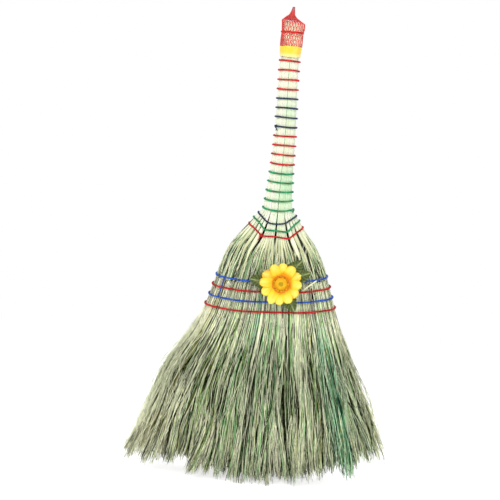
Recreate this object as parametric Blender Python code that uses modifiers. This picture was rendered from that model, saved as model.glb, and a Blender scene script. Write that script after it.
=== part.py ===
"""Hand-tied straw broom: six straw bundles that make the grip and fan out into a stitched skirt of bristles,
bound with coloured twine, with a taped net cap on the grip's end and a fabric flower wired to the front.

Units are metres, +Z runs up the grip, and the flower faces -Y. The broom stands on its bristle tips with the
origin under the middle of its box.

Straws are laid out in straw coordinates (across, deep, height). across and deep lie in a unit disc, and
height is measured on the centre line. straw_point turns them into a place, so pieces that are apart in the
disc stay apart from the grip's end to the tips of the bristles.
"""

import math
import random

import bmesh
import bpy
import numpy as np
from mathutils import Matrix, Vector

# Lengths along the centre line, from the floor upwards
SKIRT_FREE_LENGTH = 0.2440
ROW_PITCH = 0.0142
ROW_COUNT = 4
SHOULDER_LENGTH = 0.0631
NECK_PITCH = 0.0091
NECK_ROW_COUNT = 3
NECK_TO_GRIP = 0.0184
RING_PITCH = 0.0128
TOP_RING_TO_TAPE = 0.0052
TAPE_WIDTH = 0.0143
TAPE_TO_GRIP_END = 0.0275

# Half widths and half depths of the whole broom at its main heights
FLOOR_HALF_WIDTH = 0.1835
FLOOR_HALF_DEPTH = 0.046
SKIRT_HALF_WIDTH = 0.140
SKIRT_HALF_DEPTH = 0.033
LOWEST_ROW_HALF_WIDTH = 0.0900
LOWEST_ROW_HALF_DEPTH = 0.0225
TOP_ROW_HALF_WIDTH = 0.0762
TOP_ROW_HALF_DEPTH = 0.0220
SHOULDER_HALF_WIDTH = 0.0590
SHOULDER_HALF_DEPTH = 0.0225
LOW_NECK_HALF_WIDTH = 0.0362
LOW_NECK_HALF_DEPTH = 0.0215
MIDDLE_NECK_HALF_WIDTH = 0.0308
MIDDLE_NECK_HALF_DEPTH = 0.0210
HIGH_NECK_HALF_WIDTH = 0.0252
HIGH_NECK_HALF_DEPTH = 0.0205
GRIP_FOOT_HALF_WIDTH = 0.0196
GRIP_FOOT_HALF_DEPTH = 0.0186
GRIP_MIDDLE_RADIUS = 0.0143
GRIP_TOP_RADIUS = 0.0125

# How far the broom's edge stands above its middle at one height, because the straws fan out
FLOOR_LIFT = 0.030
SKIRT_LIFT = 0.020
ROW_LIFT = 0.0076
SHOULDER_LIFT = 0.0115
NECK_LIFT = 0.0150
HIGH_NECK_LIFT = 0.0125
GRIP_FOOT_LIFT = 0.0020
# How far the right edge stands above the middle: the rows were stitched a little askew
ROW_TILT = 0.0050
# How far the centre line stands to the right of the grip's end
ROW_BOW = 0.0048
TOP_ROW_BOW = 0.0034
NECK_BOW = 0.0028
GRIP_BOW = 0.0034

# Where the skirt's and the shoulder's widths apply, as shares of their lengths
SKIRT_MIDDLE_SHARE = 0.54
SHOULDER_MIDDLE_SHARE = 0.58
GRIP_MIDDLE_SHARE = 0.42

# Bundles and tufts in the unit disc
BUNDLE_EDGE_SHARE = 0.5
TUFT_COUNT = 3
LOBE_COLUMN_COUNT = 3
DISC_RIM_SHARE = 0.985
LOBE_SHARE = 0.10
FLATTENING_SHARE = 0.80
SEAT_GAP = 0.0003
SEAM_GAP = 0.0004

# Bristles
CENTRE_STRAND_ROW_COUNT = 4
SIDE_STRAND_ROW_COUNT = 5
STRAND_COLUMN_COUNT = 4
SIDE_STRAND_CUT_COUNT = 2
# Corner radius of a strand at its root, its bend and its cut end, as shares of the room between strands
STRAND_ROOT_SHARE = 0.37
STRAND_BEND_SHARE = 0.52
STRAND_END_SHARE = 0.25
STRAND_ROOT_DEPTH = 0.004
# Where a strand is bent between its root and its end
BEND_SHARE = 0.42
STRAND_INSET_SHARE = 0.017
STRAND_DEEP_INSET_SHARE = 0.055
# How much further from their tuft's middle the strands end than they start, so that tufts meet
SPREAD_FLOOR_SHARE = 1.20
SLICE_OVERHANG = 0.005
END_RISE = 0.050
END_SCATTER = 0.014
# Height of the tuft ends over the floor from left to right, as shares of END_RISE
END_SHARES = (0.36, 0.42, 0.46, 0.20, 0.24, 0.06, 0.04, 0.20, 0.38, 0.46, 0.52, 0.95)

# Twine
TWINE_RADIUS = 0.0014
KNOT_RADIUS = 0.0029
HANDLE_LOOP_POINT_COUNT = 10
ROW_LOOP_POINT_COUNT = 18
SAG_MARGIN = 1.3
STEP_ANGLE = math.radians(60)
TAIL_GAP = 0.0006
SAFE_SELF_GAP = 0.0004

# Tape and net cap
TAPE_THICKNESS = 0.0008
NET_STRAND = 0.0009
NET_COLUMN_COUNT = 10
# How far the net's wall stands off the grip at its tie, round its shoulders and above them
NET_TIE_ROOM = 0.0025
NET_BULGE_ROOM = 0.0037
NET_SHOULDER_ROOM = 0.0010
NET_GATHER_RADIUS = 0.0052
NET_GATHER_RISE = 0.0100
NET_TUCK = 0.0060
NET_TIE_RISE = 0.0195
NET_TIE_RADIUS = 0.0009
TAIL_WAIST_RADIUS = 0.0034
TAIL_TIP_RADIUS = 0.0016
TAIL_LENGTH = 0.0155
TAIL_LEAN = 0.0035

# Flower
FLOWER_ACROSS = 1 / 6
FLOWER_TILT = math.radians(-4)
SHEET_THICKNESS = 0.0006
STEM_RADIUS = 0.0008
STEM_CLEARANCE = 0.0003
STEM_BEND = 0.0020
STEM_RISE = 0.0085
STEM_FOOT_LENGTH = 0.0240
CALYX_HEIGHT = 0.0060
CALYX_RADIUS = 0.0070
CALYX_NECK_RADIUS = 0.0026
CALYX_NECK_HEIGHT = 0.0042
PETAL_COUNT = 6
OUTER_PETAL_RADIUS = 0.0305
INNER_PETAL_RADIUS = 0.0285
PETAL_CUP = 0.0050
PETAL_LAYER_GAP = 0.0010
PETAL_NOTCH_SHARE = 0.50
CORONA_RADIUS = 0.0130
CORONA_FOOT_RADIUS = 0.0100
CORONA_HEIGHT = 0.0050
CORONA_WALL = 0.0009
CENTRE_RADIUS = 0.0088
CENTRE_HEIGHT = 0.0048
CENTRE_DOME_SHARES = ((0.62, 0.88), (0.88, 0.5), (0.92, 0))
DIMPLE_RADIUS = 0.0030
DIMPLE_DEPTH = 0.0012
LEAF_REACH = 0.0430
LEAF_HALF_WIDTH = 0.0115
LEAF_STALK_WIDTH = 0.0020
LEAF_STALK_SHARE = 0.18
LEAF_ARCH = 0.0012
LEAF_LEVEL = 0.0030
LEAF_LOW_LEVEL = 0.0016
# Leaves seen from the front: degrees anticlockwise from +X, and whether a leaf lies under the others
LEAVES = (
    ("upper_right", 52, False),
    ("right", 25, True),
    ("left", 177, False),
    ("lower_right", -59, False),
)

# Points closer than this are one point
WELD = 0.00001

MATERIALS = {
    "straw_grip": ((0.86, 0.87, 0.66), 0.55),
    "straw_bristle": ((0.55, 0.60, 0.36), 0.65),
    "twine_red": ((0.72, 0.07, 0.08), 0.45),
    "twine_blue": ((0.06, 0.12, 0.42), 0.45),
    "twine_green": ((0.10, 0.48, 0.25), 0.45),
    "tape_yellow": ((0.93, 0.75, 0.12), 0.35),
    "net_red": ((0.80, 0.10, 0.12), 0.40),
    "petal_yellow": ((0.95, 0.83, 0.05), 0.60),
    "flower_orange": ((0.95, 0.45, 0.03), 0.60),
    "leaf_green": ((0.16, 0.28, 0.09), 0.60),
    "wire_green": ((0.12, 0.30, 0.12), 0.45),
}


# Heights worked out from the lengths above
ROW_HEIGHTS = [SKIRT_FREE_LENGTH + row * ROW_PITCH for row in range(ROW_COUNT)]
TOP_ROW = ROW_HEIGHTS[-1]
NECK_HEIGHTS = [TOP_ROW + SHOULDER_LENGTH + row * NECK_PITCH for row in range(NECK_ROW_COUNT)]
GRIP_FOOT = NECK_HEIGHTS[-1] + NECK_TO_GRIP
# Strings on the grip from the bottom up: name, material, loops, way round and where the first loop starts
GRIP_STRINGS = (
    ("green", "twine_green", 5, -1, 100),
    ("red_lower", "twine_red", 4, 1, 30),
    ("blue", "twine_blue", 4, 1, 120),
    ("red_upper", "twine_red", 4, -1, 30),
)
RING_COUNT = sum(string[2] for string in GRIP_STRINGS)
# The strings of the stitched rows and of the rows round the neck, from the bottom up
SKIRT_STRINGS = ("red_lower", "blue_lower", "red_upper", "blue_upper")
NECK_STRINGS = ("red", "green", "blue")
NECK_KNOT_DEGREES = (-122, 90, 95)
TAPE_BOTTOM = GRIP_FOOT + (RING_COUNT - 1) * RING_PITCH + TOP_RING_TO_TAPE
TAPE_TOP = TAPE_BOTTOM + TAPE_WIDTH
GRIP_END = TAPE_TOP + TAPE_TO_GRIP_END
GRIP_MIDDLE = GRIP_FOOT + GRIP_MIDDLE_SHARE * (TAPE_BOTTOM - GRIP_FOOT)
SKIRT_MIDDLE = SKIRT_MIDDLE_SHARE * SKIRT_FREE_LENGTH
SHOULDER_MIDDLE = TOP_ROW + SHOULDER_MIDDLE_SHARE * SHOULDER_LENGTH

# Height, half width, half depth, lift, tilt, bow, flattening and corner of the section there
STATIONS = (
    (0, FLOOR_HALF_WIDTH, FLOOR_HALF_DEPTH, FLOOR_LIFT, ROW_TILT, 0, FLATTENING_SHARE, 0),
    (SKIRT_MIDDLE, SKIRT_HALF_WIDTH, SKIRT_HALF_DEPTH, SKIRT_LIFT, ROW_TILT, 0, FLATTENING_SHARE, 0),
    (ROW_HEIGHTS[0], LOWEST_ROW_HALF_WIDTH, LOWEST_ROW_HALF_DEPTH, ROW_LIFT, ROW_TILT, ROW_BOW, FLATTENING_SHARE, 0),
    (TOP_ROW, TOP_ROW_HALF_WIDTH, TOP_ROW_HALF_DEPTH, ROW_LIFT, ROW_TILT, TOP_ROW_BOW, FLATTENING_SHARE, 0),
    (SHOULDER_MIDDLE, SHOULDER_HALF_WIDTH, SHOULDER_HALF_DEPTH, SHOULDER_LIFT, 0, NECK_BOW, FLATTENING_SHARE, 0.3),
    (NECK_HEIGHTS[0], LOW_NECK_HALF_WIDTH, LOW_NECK_HALF_DEPTH, NECK_LIFT, 0, NECK_BOW, 0, 1),
    (NECK_HEIGHTS[1], MIDDLE_NECK_HALF_WIDTH, MIDDLE_NECK_HALF_DEPTH, NECK_LIFT, 0, NECK_BOW, 0, 1),
    (NECK_HEIGHTS[-1], HIGH_NECK_HALF_WIDTH, HIGH_NECK_HALF_DEPTH, HIGH_NECK_LIFT, 0, NECK_BOW, 0, 0.2),
    (GRIP_FOOT, GRIP_FOOT_HALF_WIDTH, GRIP_FOOT_HALF_DEPTH, GRIP_FOOT_LIFT, 0, NECK_BOW, 0, 0),
    (GRIP_MIDDLE, GRIP_MIDDLE_RADIUS, GRIP_MIDDLE_RADIUS, 0, 0, GRIP_BOW, 0, 0),
    (TAPE_BOTTOM, GRIP_TOP_RADIUS, GRIP_TOP_RADIUS, 0, 0, 0, 0, 0),
    (GRIP_END, GRIP_TOP_RADIUS, GRIP_TOP_RADIUS, 0, 0, 0, 0, 0),
)


def monotone_slopes(x, y):
    """Slopes at the stations for a cubic that never overshoots (Fritsch and Carlson's rule)."""
    steps = np.diff(x)
    rises = np.diff(y) / steps
    slopes = np.zeros(len(x))
    slopes[0], slopes[-1] = rises[0], rises[-1]
    for i in range(1, len(x) - 1):
        before, after = rises[i - 1], rises[i]
        if before * after > 0:
            weight_before = 2 * steps[i] + steps[i - 1]
            weight_after = steps[i] + 2 * steps[i - 1]
            slopes[i] = (weight_before + weight_after) / (weight_before / before + weight_after / after)
    return slopes


class SmoothColumn:
    """One column of STATIONS as a smooth function of height."""

    def __init__(self, column):
        self.x = np.array([station[0] for station in STATIONS], float)
        self.y = np.array([station[column] for station in STATIONS], float)
        self.slopes = monotone_slopes(self.x, self.y)

    def __call__(self, height):
        height = np.clip(height, self.x[0], self.x[-1])
        i = np.clip(np.searchsorted(self.x, height) - 1, 0, len(self.x) - 2)
        span = self.x[i + 1] - self.x[i]
        t = (height - self.x[i]) / span
        return (
            self.y[i] * (1 + 2 * t) * (1 - t) ** 2
            + span * self.slopes[i] * t * (1 - t) ** 2
            + self.y[i + 1] * t**2 * (3 - 2 * t)
            + span * self.slopes[i + 1] * t**2 * (t - 1)
        )


half_width, half_depth, lift, tilt, bow, flattening, corner = (SmoothColumn(column) for column in range(1, 8))


def lift_at(across, height):
    """Rise of the section: with the square of across, or level over the middle bundles where it has corners."""
    cornered = np.maximum(np.abs(across) - BUNDLE_EDGE_SHARE, 0) / (1 - BUNDLE_EDGE_SHARE)
    return lift(height) * (across**2 + corner(height) * (cornered - across**2))


def straw_point(across, deep, height):
    """Place of straw coordinates: an ellipse that keeps its thickness towards the edges, lifted there."""
    across, deep, height = np.broadcast_arrays(across, deep, np.asarray(height, float))
    x = bow(height) + half_width(height) * across
    y = half_depth(height) * deep * (1 + flattening(height) * across**2)
    z = height + lift_at(across, height) + tilt(height) * across
    return np.stack([x, y, z], axis=-1)


# Blender helpers


def clear_scene():
    for obj in list(bpy.data.objects):
        bpy.data.objects.remove(obj)


def new_collection(name, hidden=False):
    collection = bpy.data.collections.new(name)
    bpy.context.scene.collection.children.link(collection)
    collection.hide_render = hidden
    return collection


def material(name):
    """A plain Principled BSDF with the slot's colour and roughness."""
    made = bpy.data.materials.get(name)
    if made is None:
        colour, roughness = MATERIALS[name]
        made = bpy.data.materials.new(name)
        made.use_nodes = True
        shader = made.node_tree.nodes["Principled BSDF"]
        shader.inputs["Base Color"].default_value = (*colour, 1)
        shader.inputs["Roughness"].default_value = roughness
        made.diffuse_color = (*colour, 1)
    return made


def add_object(name, data, slot, smooth_angle=None):
    obj = bpy.data.objects.new(name, data)
    parts.objects.link(obj)
    obj.parent = broom
    data.materials.clear()
    data.materials.append(material(slot))
    if smooth_angle is not None and obj.type == "MESH":
        data.shade_smooth()
        data.set_sharp_from_angle(angle=smooth_angle)
    return obj


def mesh_from(name, points, faces):
    """A mesh with its faces turned outwards."""
    mesh = bpy.data.meshes.new(name)
    mesh.from_pydata([tuple(map(float, p)) for p in points], [], faces)
    made = bmesh.new()
    made.from_mesh(mesh)
    bmesh.ops.recalc_face_normals(made, faces=made.faces)
    made.to_mesh(mesh)
    made.free()
    return mesh


def add_cutter(name, mesh):
    cutter = bpy.data.objects.new(name, mesh)
    cutters.objects.link(cutter)
    cutter.parent = broom
    cutter.hide_render = True
    cutter.display_type = "WIRE"
    return cutter


def union(obj, *meshes):
    """Joins closed meshes to obj with exact Booleans."""
    for number, mesh in enumerate(meshes):
        modifier = obj.modifiers.new(f"join_{number}", "BOOLEAN")
        modifier.operation = "UNION"
        modifier.solver = "EXACT"
        modifier.object = add_cutter(f"{obj.name}_join_{number}", mesh)


def grid_faces(rows, columns, closed=False):
    """Quads of a grid whose points are stored row by row; closed joins its last column to its first."""
    faces = []
    for row in range(rows - 1):
        for column in range(columns if closed else columns - 1):
            after = (column + 1) % columns
            here, above = row * columns, (row + 1) * columns
            faces.append((here + column, here + after, above + after, above + column))
    return faces


def turned(name, profile, segments, slot):
    """A turned shape. Its (radius, height) profile runs down the outer side to the axis or round to its start."""
    points = [(radius, 0, height) for radius, height in profile]
    mesh = bpy.data.meshes.new(name)
    mesh.from_pydata(points, [(i, i + 1) for i in range(len(points) - 1)], [])
    obj = add_object(name, mesh, slot)
    screw = obj.modifiers.new("turn", "SCREW")
    screw.steps = screw.render_steps = segments
    screw.use_merge_vertices = True
    screw.merge_threshold = WELD
    screw.use_smooth_shade = True
    return obj


# Straw bundles and bristle tufts


class Cell:
    """A piece of the unit disc between two across values: front half, back half or the whole depth."""

    def __init__(self, name, left, right, side, lobes):
        self.name, self.left, self.right, self.side, self.lobes = name, left, right, side, lobes

    def across_values(self, height):
        values = np.linspace(self.left, self.right, self.lobes * LOBE_COLUMN_COUNT + 1)
        half_seam = SEAM_GAP / 2 / float(half_width(height))
        values[0] = max(self.left + half_seam, -DISC_RIM_SHARE)
        values[-1] = min(self.right - half_seam, DISC_RIM_SHARE)
        return values

    def deep_range(self, across, height):
        """Front and back limit of the cell at each across value, rounded off at the edges of its lobes."""
        within = np.round((across - self.left) / (self.right - self.left) * self.lobes, 6) % 1
        rim = np.sqrt(1 - across**2) * (1 - LOBE_SHARE * (2 * within - 1) ** 4)
        split = np.full_like(rim, SEAM_GAP / 2 / float(half_depth(height)))
        if self.side == "front":
            return -rim, -split
        if self.side == "back":
            return split, rim
        return -rim, rim


def bundle_cells():
    edge = BUNDLE_EDGE_SHARE
    lobes = TUFT_COUNT
    return [
        Cell("left", -1, -edge, "through", lobes),
        Cell("front_left", -edge, 0, "front", lobes),
        Cell("front_right", 0, edge, "front", lobes),
        Cell("right", edge, 1, "through", lobes),
        Cell("back_right", 0, edge, "back", lobes),
        Cell("back_left", -edge, 0, "back", lobes),
    ]


def tuft_cells(bundle):
    edges = np.linspace(bundle.left, bundle.right, bundle.lobes + 1)
    numbered = enumerate(zip(edges, edges[1:]), 1)
    return [Cell(f"{bundle.name}_{i}", left, right, bundle.side, 1) for i, (left, right) in numbered]


def cell_solid(name, cell, heights):
    """A closed solid that follows the cell through the given heights. Each cap is a strip of quads."""
    points = []
    for height in heights:
        across = cell.across_values(height)
        front, back = cell.deep_range(across, height)
        points.append(straw_point(np.append(across, across[::-1]), np.append(front, back[::-1]), height))
    points = np.concatenate(points)
    count = cell.lobes * LOBE_COLUMN_COUNT + 1
    size = 2 * count
    faces = grid_faces(len(heights), size, closed=True)
    for start in (0, (len(heights) - 1) * size):
        for i in range(count - 1):
            faces.append((start + i, start + i + 1, start + size - 2 - i, start + size - 1 - i))
    return mesh_from(name, points, faces)


def bundle_heights():
    """Heights of a bundle's sections, from just over the stitched slices to the grip's end."""
    return [
        TOP_ROW + SEAT_GAP,
        (TOP_ROW + SHOULDER_MIDDLE) / 2,
        SHOULDER_MIDDLE,
        (SHOULDER_MIDDLE + NECK_HEIGHTS[0]) / 2,
        NECK_HEIGHTS[0],
        NECK_HEIGHTS[1],
        NECK_HEIGHTS[-1],
        (NECK_HEIGHTS[-1] + GRIP_FOOT) / 2,
        GRIP_FOOT,
        (GRIP_FOOT + GRIP_MIDDLE) / 2,
        GRIP_MIDDLE,
        (GRIP_MIDDLE + TAPE_BOTTOM) / 2,
        TAPE_BOTTOM,
        GRIP_END,
    ]


def make_bundles():
    for cell in bundle_cells():
        name = f"straw_bundle_{cell.name}"
        mesh = cell_solid(name, cell, bundle_heights())
        add_object(name, mesh, "straw_grip", math.radians(40))


def strand_seats(cell, rows):
    """Seats of one tuft's strands as (across, deep, room across, room in depth), with shifted rows."""
    left = max(cell.left, -DISC_RIM_SHARE) + STRAND_INSET_SHARE
    right = min(cell.right, DISC_RIM_SHARE) - STRAND_INSET_SHARE
    seats = []
    for row in range(rows):
        shift = (row * 0.618) % 1
        for column in range(STRAND_COLUMN_COUNT):
            across = left + (right - left) * (column + shift) / STRAND_COLUMN_COUNT
            front, back = cell.deep_range(np.array([across]), ROW_HEIGHTS[0])
            front, back = float(front[0]) + STRAND_DEEP_INSET_SHARE, float(back[0]) - STRAND_DEEP_INSET_SHARE
            if back > front:
                deep = front + (back - front) * (row + 0.5) / rows
                seats.append((across, deep, (right - left) / STRAND_COLUMN_COUNT, (back - front) / rows))
    return seats


def end_share(across):
    """Height of the bristle ends over the floor, as a share of END_RISE, read between the tufts' values."""
    place = (across + 1) / 2 * len(END_SHARES) - 0.5
    return float(np.interp(place, range(len(END_SHARES)), END_SHARES))


def strand(seat, tuft_middle, end_height, turn):
    """One three-sided strand from inside the slice to its end, wider below. It is cut flat on the floor."""
    across, deep, across_pitch, deep_pitch = seat

    def radius(height, share):
        deep_room = deep_pitch * half_depth(height) * (1 + flattening(height) * across**2)
        return share * float(min(across_pitch * half_width(height), deep_room))

    reach = across - tuft_middle
    end_across = tuft_middle + reach * SPREAD_FLOOR_SHARE
    bend_across = (across + end_across) / 2
    root = ROW_HEIGHTS[0] - SLICE_OVERHANG + STRAND_ROOT_DEPTH
    end = max(end_height, 0)
    level = max(end - lift_at(end_across, 0) - tilt(0) * end_across, 0)
    bend = root + (level - root) * BEND_SHARE
    tip = straw_point(end_across, deep, level)
    tip[2] = end
    points = ring(straw_point(across, deep, root), radius(root, STRAND_ROOT_SHARE), turn)
    points += ring(straw_point(bend_across, deep, bend), radius(bend, STRAND_BEND_SHARE), turn)
    if end == 0:
        points += ring(tip, radius(0, STRAND_END_SHARE), turn)
        faces = [*grid_faces(3, 3, closed=True), (0, 2, 1), (6, 7, 8)]
    else:
        points.append(tip)
        faces = [*grid_faces(2, 3, closed=True), (0, 2, 1), (3, 4, 6), (4, 5, 6), (5, 3, 6)]
    return points, faces


def ring(centre, radius, turn):
    """Three corners round a centre, level with the floor."""
    angles = [turn + math.radians(120) * corner for corner in range(3)]
    return [centre + radius * np.array([math.cos(a), math.sin(a), 0]) for a in angles]


def make_tufts(chance):
    """Each tuft is a slice of its bundle between the stitched rows, with its strands joined to it."""
    strand_total = 0
    slice_heights = [TOP_ROW, (TOP_ROW + ROW_HEIGHTS[0]) / 2, ROW_HEIGHTS[0] - SLICE_OVERHANG]
    for bundle in bundle_cells():
        for cell in tuft_cells(bundle):
            name = f"bristle_tuft_{cell.name}"
            obj = add_object(name, cell_solid(name, cell, slice_heights), "straw_bristle", math.radians(30))
            outer = cell.side == "through"
            seats = strand_seats(cell, SIDE_STRAND_ROW_COUNT if outer else CENTRE_STRAND_ROW_COUNT)
            if outer:
                seats = seats[: len(seats) - SIDE_STRAND_CUT_COUNT]
            points, faces = [], []
            for seat in seats:
                scatter = END_SCATTER * (chance.random() - 0.5)
                end = END_RISE * end_share(seat[0]) + scatter
                turn = math.tau * chance.random()
                new_points, new_faces = strand(seat, (cell.left + cell.right) / 2, end, turn)
                faces += [tuple(i + len(points) for i in face) for face in new_faces]
                points += new_points
            union(obj, mesh_from(f"{name}_strands", points, faces))
            strand_total += len(seats)
    print("strands:", strand_total)


# Twine windings


def section_normal(angle, height):
    """Level outward normal of the broom's section at an angle round the unit disc."""
    step = 1e-3
    before = straw_point(math.cos(angle - step), math.sin(angle - step), height)
    after = straw_point(math.cos(angle + step), math.sin(angle + step), height)
    along = after - before
    normal = np.array([along[1], -along[0], 0])
    return normal / np.linalg.norm(normal)


def twine_point(angle, height, points_per_loop):
    """Centre of a twine on the straw, standing off by SEAT_GAP and the sag of its straight stretches."""
    place = straw_point(math.cos(angle), math.sin(angle), height)
    normal = section_normal(angle, height)
    reach = float(np.dot(place - straw_point(0, 0, height), normal))
    sag = SAG_MARGIN * reach * (1 - math.cos(math.pi / points_per_loop))
    return place + (SEAT_GAP + TWINE_RADIUS + sag) * normal


def winding_points(heights, base_angle, direction, turns, points_per_loop):
    """Route of one string round the broom. Turns are counted from where it steps from loop to loop."""
    first_turn, last_turn = turns
    total = math.tau * (len(heights) - 1) + last_turn - first_turn
    count = max(2, round(total / math.tau * points_per_loop)) + 1
    half_step = STEP_ANGLE / 2
    route = []
    for turn in np.linspace(first_turn, first_turn + total, count):
        loop = min(int((turn + math.pi) // math.tau), len(heights) - 1)
        into_step = (turn - math.tau * loop + half_step) / STEP_ANGLE
        ease = min(max(into_step, 0), 1)
        ease = ease * ease * (3 - 2 * ease)
        below = heights[max(loop - 1, 0)]
        height = below + (heights[loop] - below) * ease
        route.append(twine_point(base_angle + direction * turn, height, points_per_loop))
    return route


def least_self_gap(route, points_per_loop):
    """Least gap between stretches of a twine that are at least a quarter of a loop apart."""
    points = np.array(route)
    apart = np.linalg.norm(points[:, None] - points[None], axis=2)
    index = np.arange(len(points))
    far = np.abs(index[:, None] - index[None]) >= points_per_loop // 4
    return float(apart[far].min()) - 2 * TWINE_RADIUS


def poly_tube(name, route, radius, resolution):
    """A mesh tube with filled, welded caps along a route."""
    curve = bpy.data.curves.new(name, "CURVE")
    curve.dimensions = "3D"
    curve.bevel_depth = radius
    curve.bevel_resolution = resolution
    curve.use_fill_caps = True
    spline = curve.splines.new("POLY")
    spline.points.add(len(route) - 1)
    for point, place in zip(spline.points, route):
        point.co = (*map(float, place), 1)
    guide = bpy.data.objects.new(f"{name}_guide", curve)
    bpy.context.scene.collection.objects.link(guide)
    graph = bpy.context.evaluated_depsgraph_get()
    mesh = bpy.data.meshes.new_from_object(guide.evaluated_get(graph))
    bpy.data.objects.remove(guide)
    made = bmesh.new()
    made.from_mesh(mesh)
    bmesh.ops.remove_doubles(made, verts=made.verts, dist=WELD)
    bmesh.ops.recalc_face_normals(made, faces=made.faces)
    made.to_mesh(mesh)
    made.free()
    return mesh


def knot_mesh(name, place, radius):
    """A small tied lump round a twine's end."""
    made = bmesh.new()
    bmesh.ops.create_uvsphere(made, u_segments=6, v_segments=3, radius=radius)
    bmesh.ops.translate(made, verts=made.verts, vec=tuple(map(float, place)))
    mesh = bpy.data.meshes.new(name)
    made.to_mesh(mesh)
    made.free()
    return mesh


def add_winding(name, slot, heights, base_angle, direction, turns, points_per_loop):
    """One string with a knot on its first end, which stands further out because it is thicker."""
    route = winding_points(heights, base_angle, direction, turns, points_per_loop)
    outward = section_normal(base_angle + direction * turns[0], heights[0])
    knot = np.array(route[0]) + (KNOT_RADIUS - TWINE_RADIUS) * outward
    gap = least_self_gap(route, points_per_loop)
    if len(heights) == 1:
        gap = min(gap, float(np.linalg.norm(route[-1] - knot)) - KNOT_RADIUS)
    print(f"{name}: least gap to itself {gap * 1000:.2f} mm")
    assert gap > SAFE_SELF_GAP
    obj = add_object(name, poly_tube(name, route, TWINE_RADIUS, 1), slot, math.radians(50))
    union(obj, knot_mesh(f"{name}_knot", knot, KNOT_RADIUS))


def make_grip_windings():
    """Four strings on the grip, each level round the front and stepping up to its next loop at the back."""
    back = math.pi / 2
    ring_number = 0
    for label, slot, count, direction, start in GRIP_STRINGS:
        heights = [GRIP_FOOT + (ring_number + i) * RING_PITCH for i in range(count)]
        ring_number += count
        turns = (math.radians(start), math.tau - STEP_ANGLE / 2)
        add_winding(f"grip_string_{label}", slot, heights, back, direction, turns, HANDLE_LOOP_POINT_COUNT)


def make_tied_rows():
    """One tied string for each stitched row of the skirt and for each row round the neck."""
    rows = []
    for label, height in zip(SKIRT_STRINGS, ROW_HEIGHTS):
        rows.append((f"skirt_row_{label}", f"twine_{label.split('_')[0]}", height, math.pi / 2))
    for label, height, degrees in zip(NECK_STRINGS, NECK_HEIGHTS, NECK_KNOT_DEGREES):
        rows.append((f"neck_row_{label}", f"twine_{label}", height, math.radians(degrees)))
    for name, slot, height, angle in rows:
        tail = (KNOT_RADIUS + TAIL_GAP) / (float(half_width(height)) * abs(math.sin(angle)))
        add_winding(name, slot, [height], angle, 1, (0, math.tau - tail), ROW_LOOP_POINT_COUNT)


# Tape and net cap


def make_tape():
    """Plastic tape round the grip and over the net's hem."""
    segments = 24
    inner = GRIP_TOP_RADIUS + NET_STRAND + 2 * SEAT_GAP
    outer = inner + TAPE_THICKNESS
    outside = [(outer, TAPE_TOP), (outer, TAPE_BOTTOM)]
    inside = [(inner, TAPE_BOTTOM), (inner, TAPE_TOP)]
    turned("tape_band", [*outside, *inside, outside[0]], segments, "tape_yellow")


def net_profile():
    """(radius, height) of the middle of the net's wall, from the tucked hem to the gather."""
    seat = GRIP_TOP_RADIUS + SEAT_GAP + NET_STRAND / 2
    tie = TAPE_TOP + NET_TIE_RISE
    gather = GRIP_END + NET_GATHER_RISE
    return [
        (seat, TAPE_TOP - NET_TUCK),
        (seat, TAPE_TOP + SEAT_GAP),
        (GRIP_TOP_RADIUS + NET_TIE_ROOM, TAPE_TOP + NET_TIE_RISE / 2),
        (GRIP_TOP_RADIUS + NET_TIE_ROOM, tie),
        (GRIP_TOP_RADIUS + NET_BULGE_ROOM, (tie + GRIP_END) / 2),
        (GRIP_TOP_RADIUS + NET_BULGE_ROOM, GRIP_END),
        (GRIP_TOP_RADIUS + NET_SHOULDER_ROOM, GRIP_END + NET_GATHER_RISE / 2),
        (NET_GATHER_RADIUS, gather),
    ]


def net_quads(rows):
    """Diamonds of a net whose every second row is turned by half a mesh."""
    faces = []
    for row in range(rows - 2):
        for column in range(NET_COLUMN_COUNT):
            below, level, above = (NET_COLUMN_COUNT * (row + i) for i in range(3))
            if row % 2:
                left, right = column, (column + 1) % NET_COLUMN_COUNT
            else:
                left, right = (column - 1) % NET_COLUMN_COUNT, column
            faces.append((below + column, level + right, above + column, level + left))
    return faces


def make_net():
    """A diamond net whose strands come from Wireframe. Its gathered tail closes the top."""
    profile = net_profile()
    points = []
    for row, (radius, height) in enumerate(profile):
        shift = math.pi / NET_COLUMN_COUNT * (row % 2)
        for column in range(NET_COLUMN_COUNT):
            angle = math.tau * column / NET_COLUMN_COUNT + shift
            points.append((radius * math.cos(angle), radius * math.sin(angle), height))
    obj = add_object("net_cap", mesh_from("net_cap", points, net_quads(len(profile))), "net_red")
    wire = obj.modifiers.new("strands", "WIREFRAME")
    wire.thickness = NET_STRAND
    wire.use_boundary = True
    wire.use_even_offset = True
    wire.use_replace = True
    gather = profile[-1][1]
    foot = NET_GATHER_RADIUS + NET_STRAND
    tail = [(foot, -NET_STRAND), (foot, NET_STRAND)]
    tail += [(TAIL_WAIST_RADIUS, TAIL_LENGTH / 4), (TAIL_TIP_RADIUS, TAIL_LENGTH)]
    sides = 12
    points = []
    for radius, rise in tail:
        lean = TAIL_LEAN * max(rise, 0) / TAIL_LENGTH
        for side in range(sides):
            angle = math.tau * side / sides
            points.append((radius * math.cos(angle) - lean, radius * math.sin(angle), gather + rise))
    faces = grid_faces(len(tail), sides, closed=True)
    faces += [tuple(range(sides)), tuple(range((len(tail) - 1) * sides, len(tail) * sides))]
    union(obj, mesh_from("net_tail", points, faces))


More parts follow.
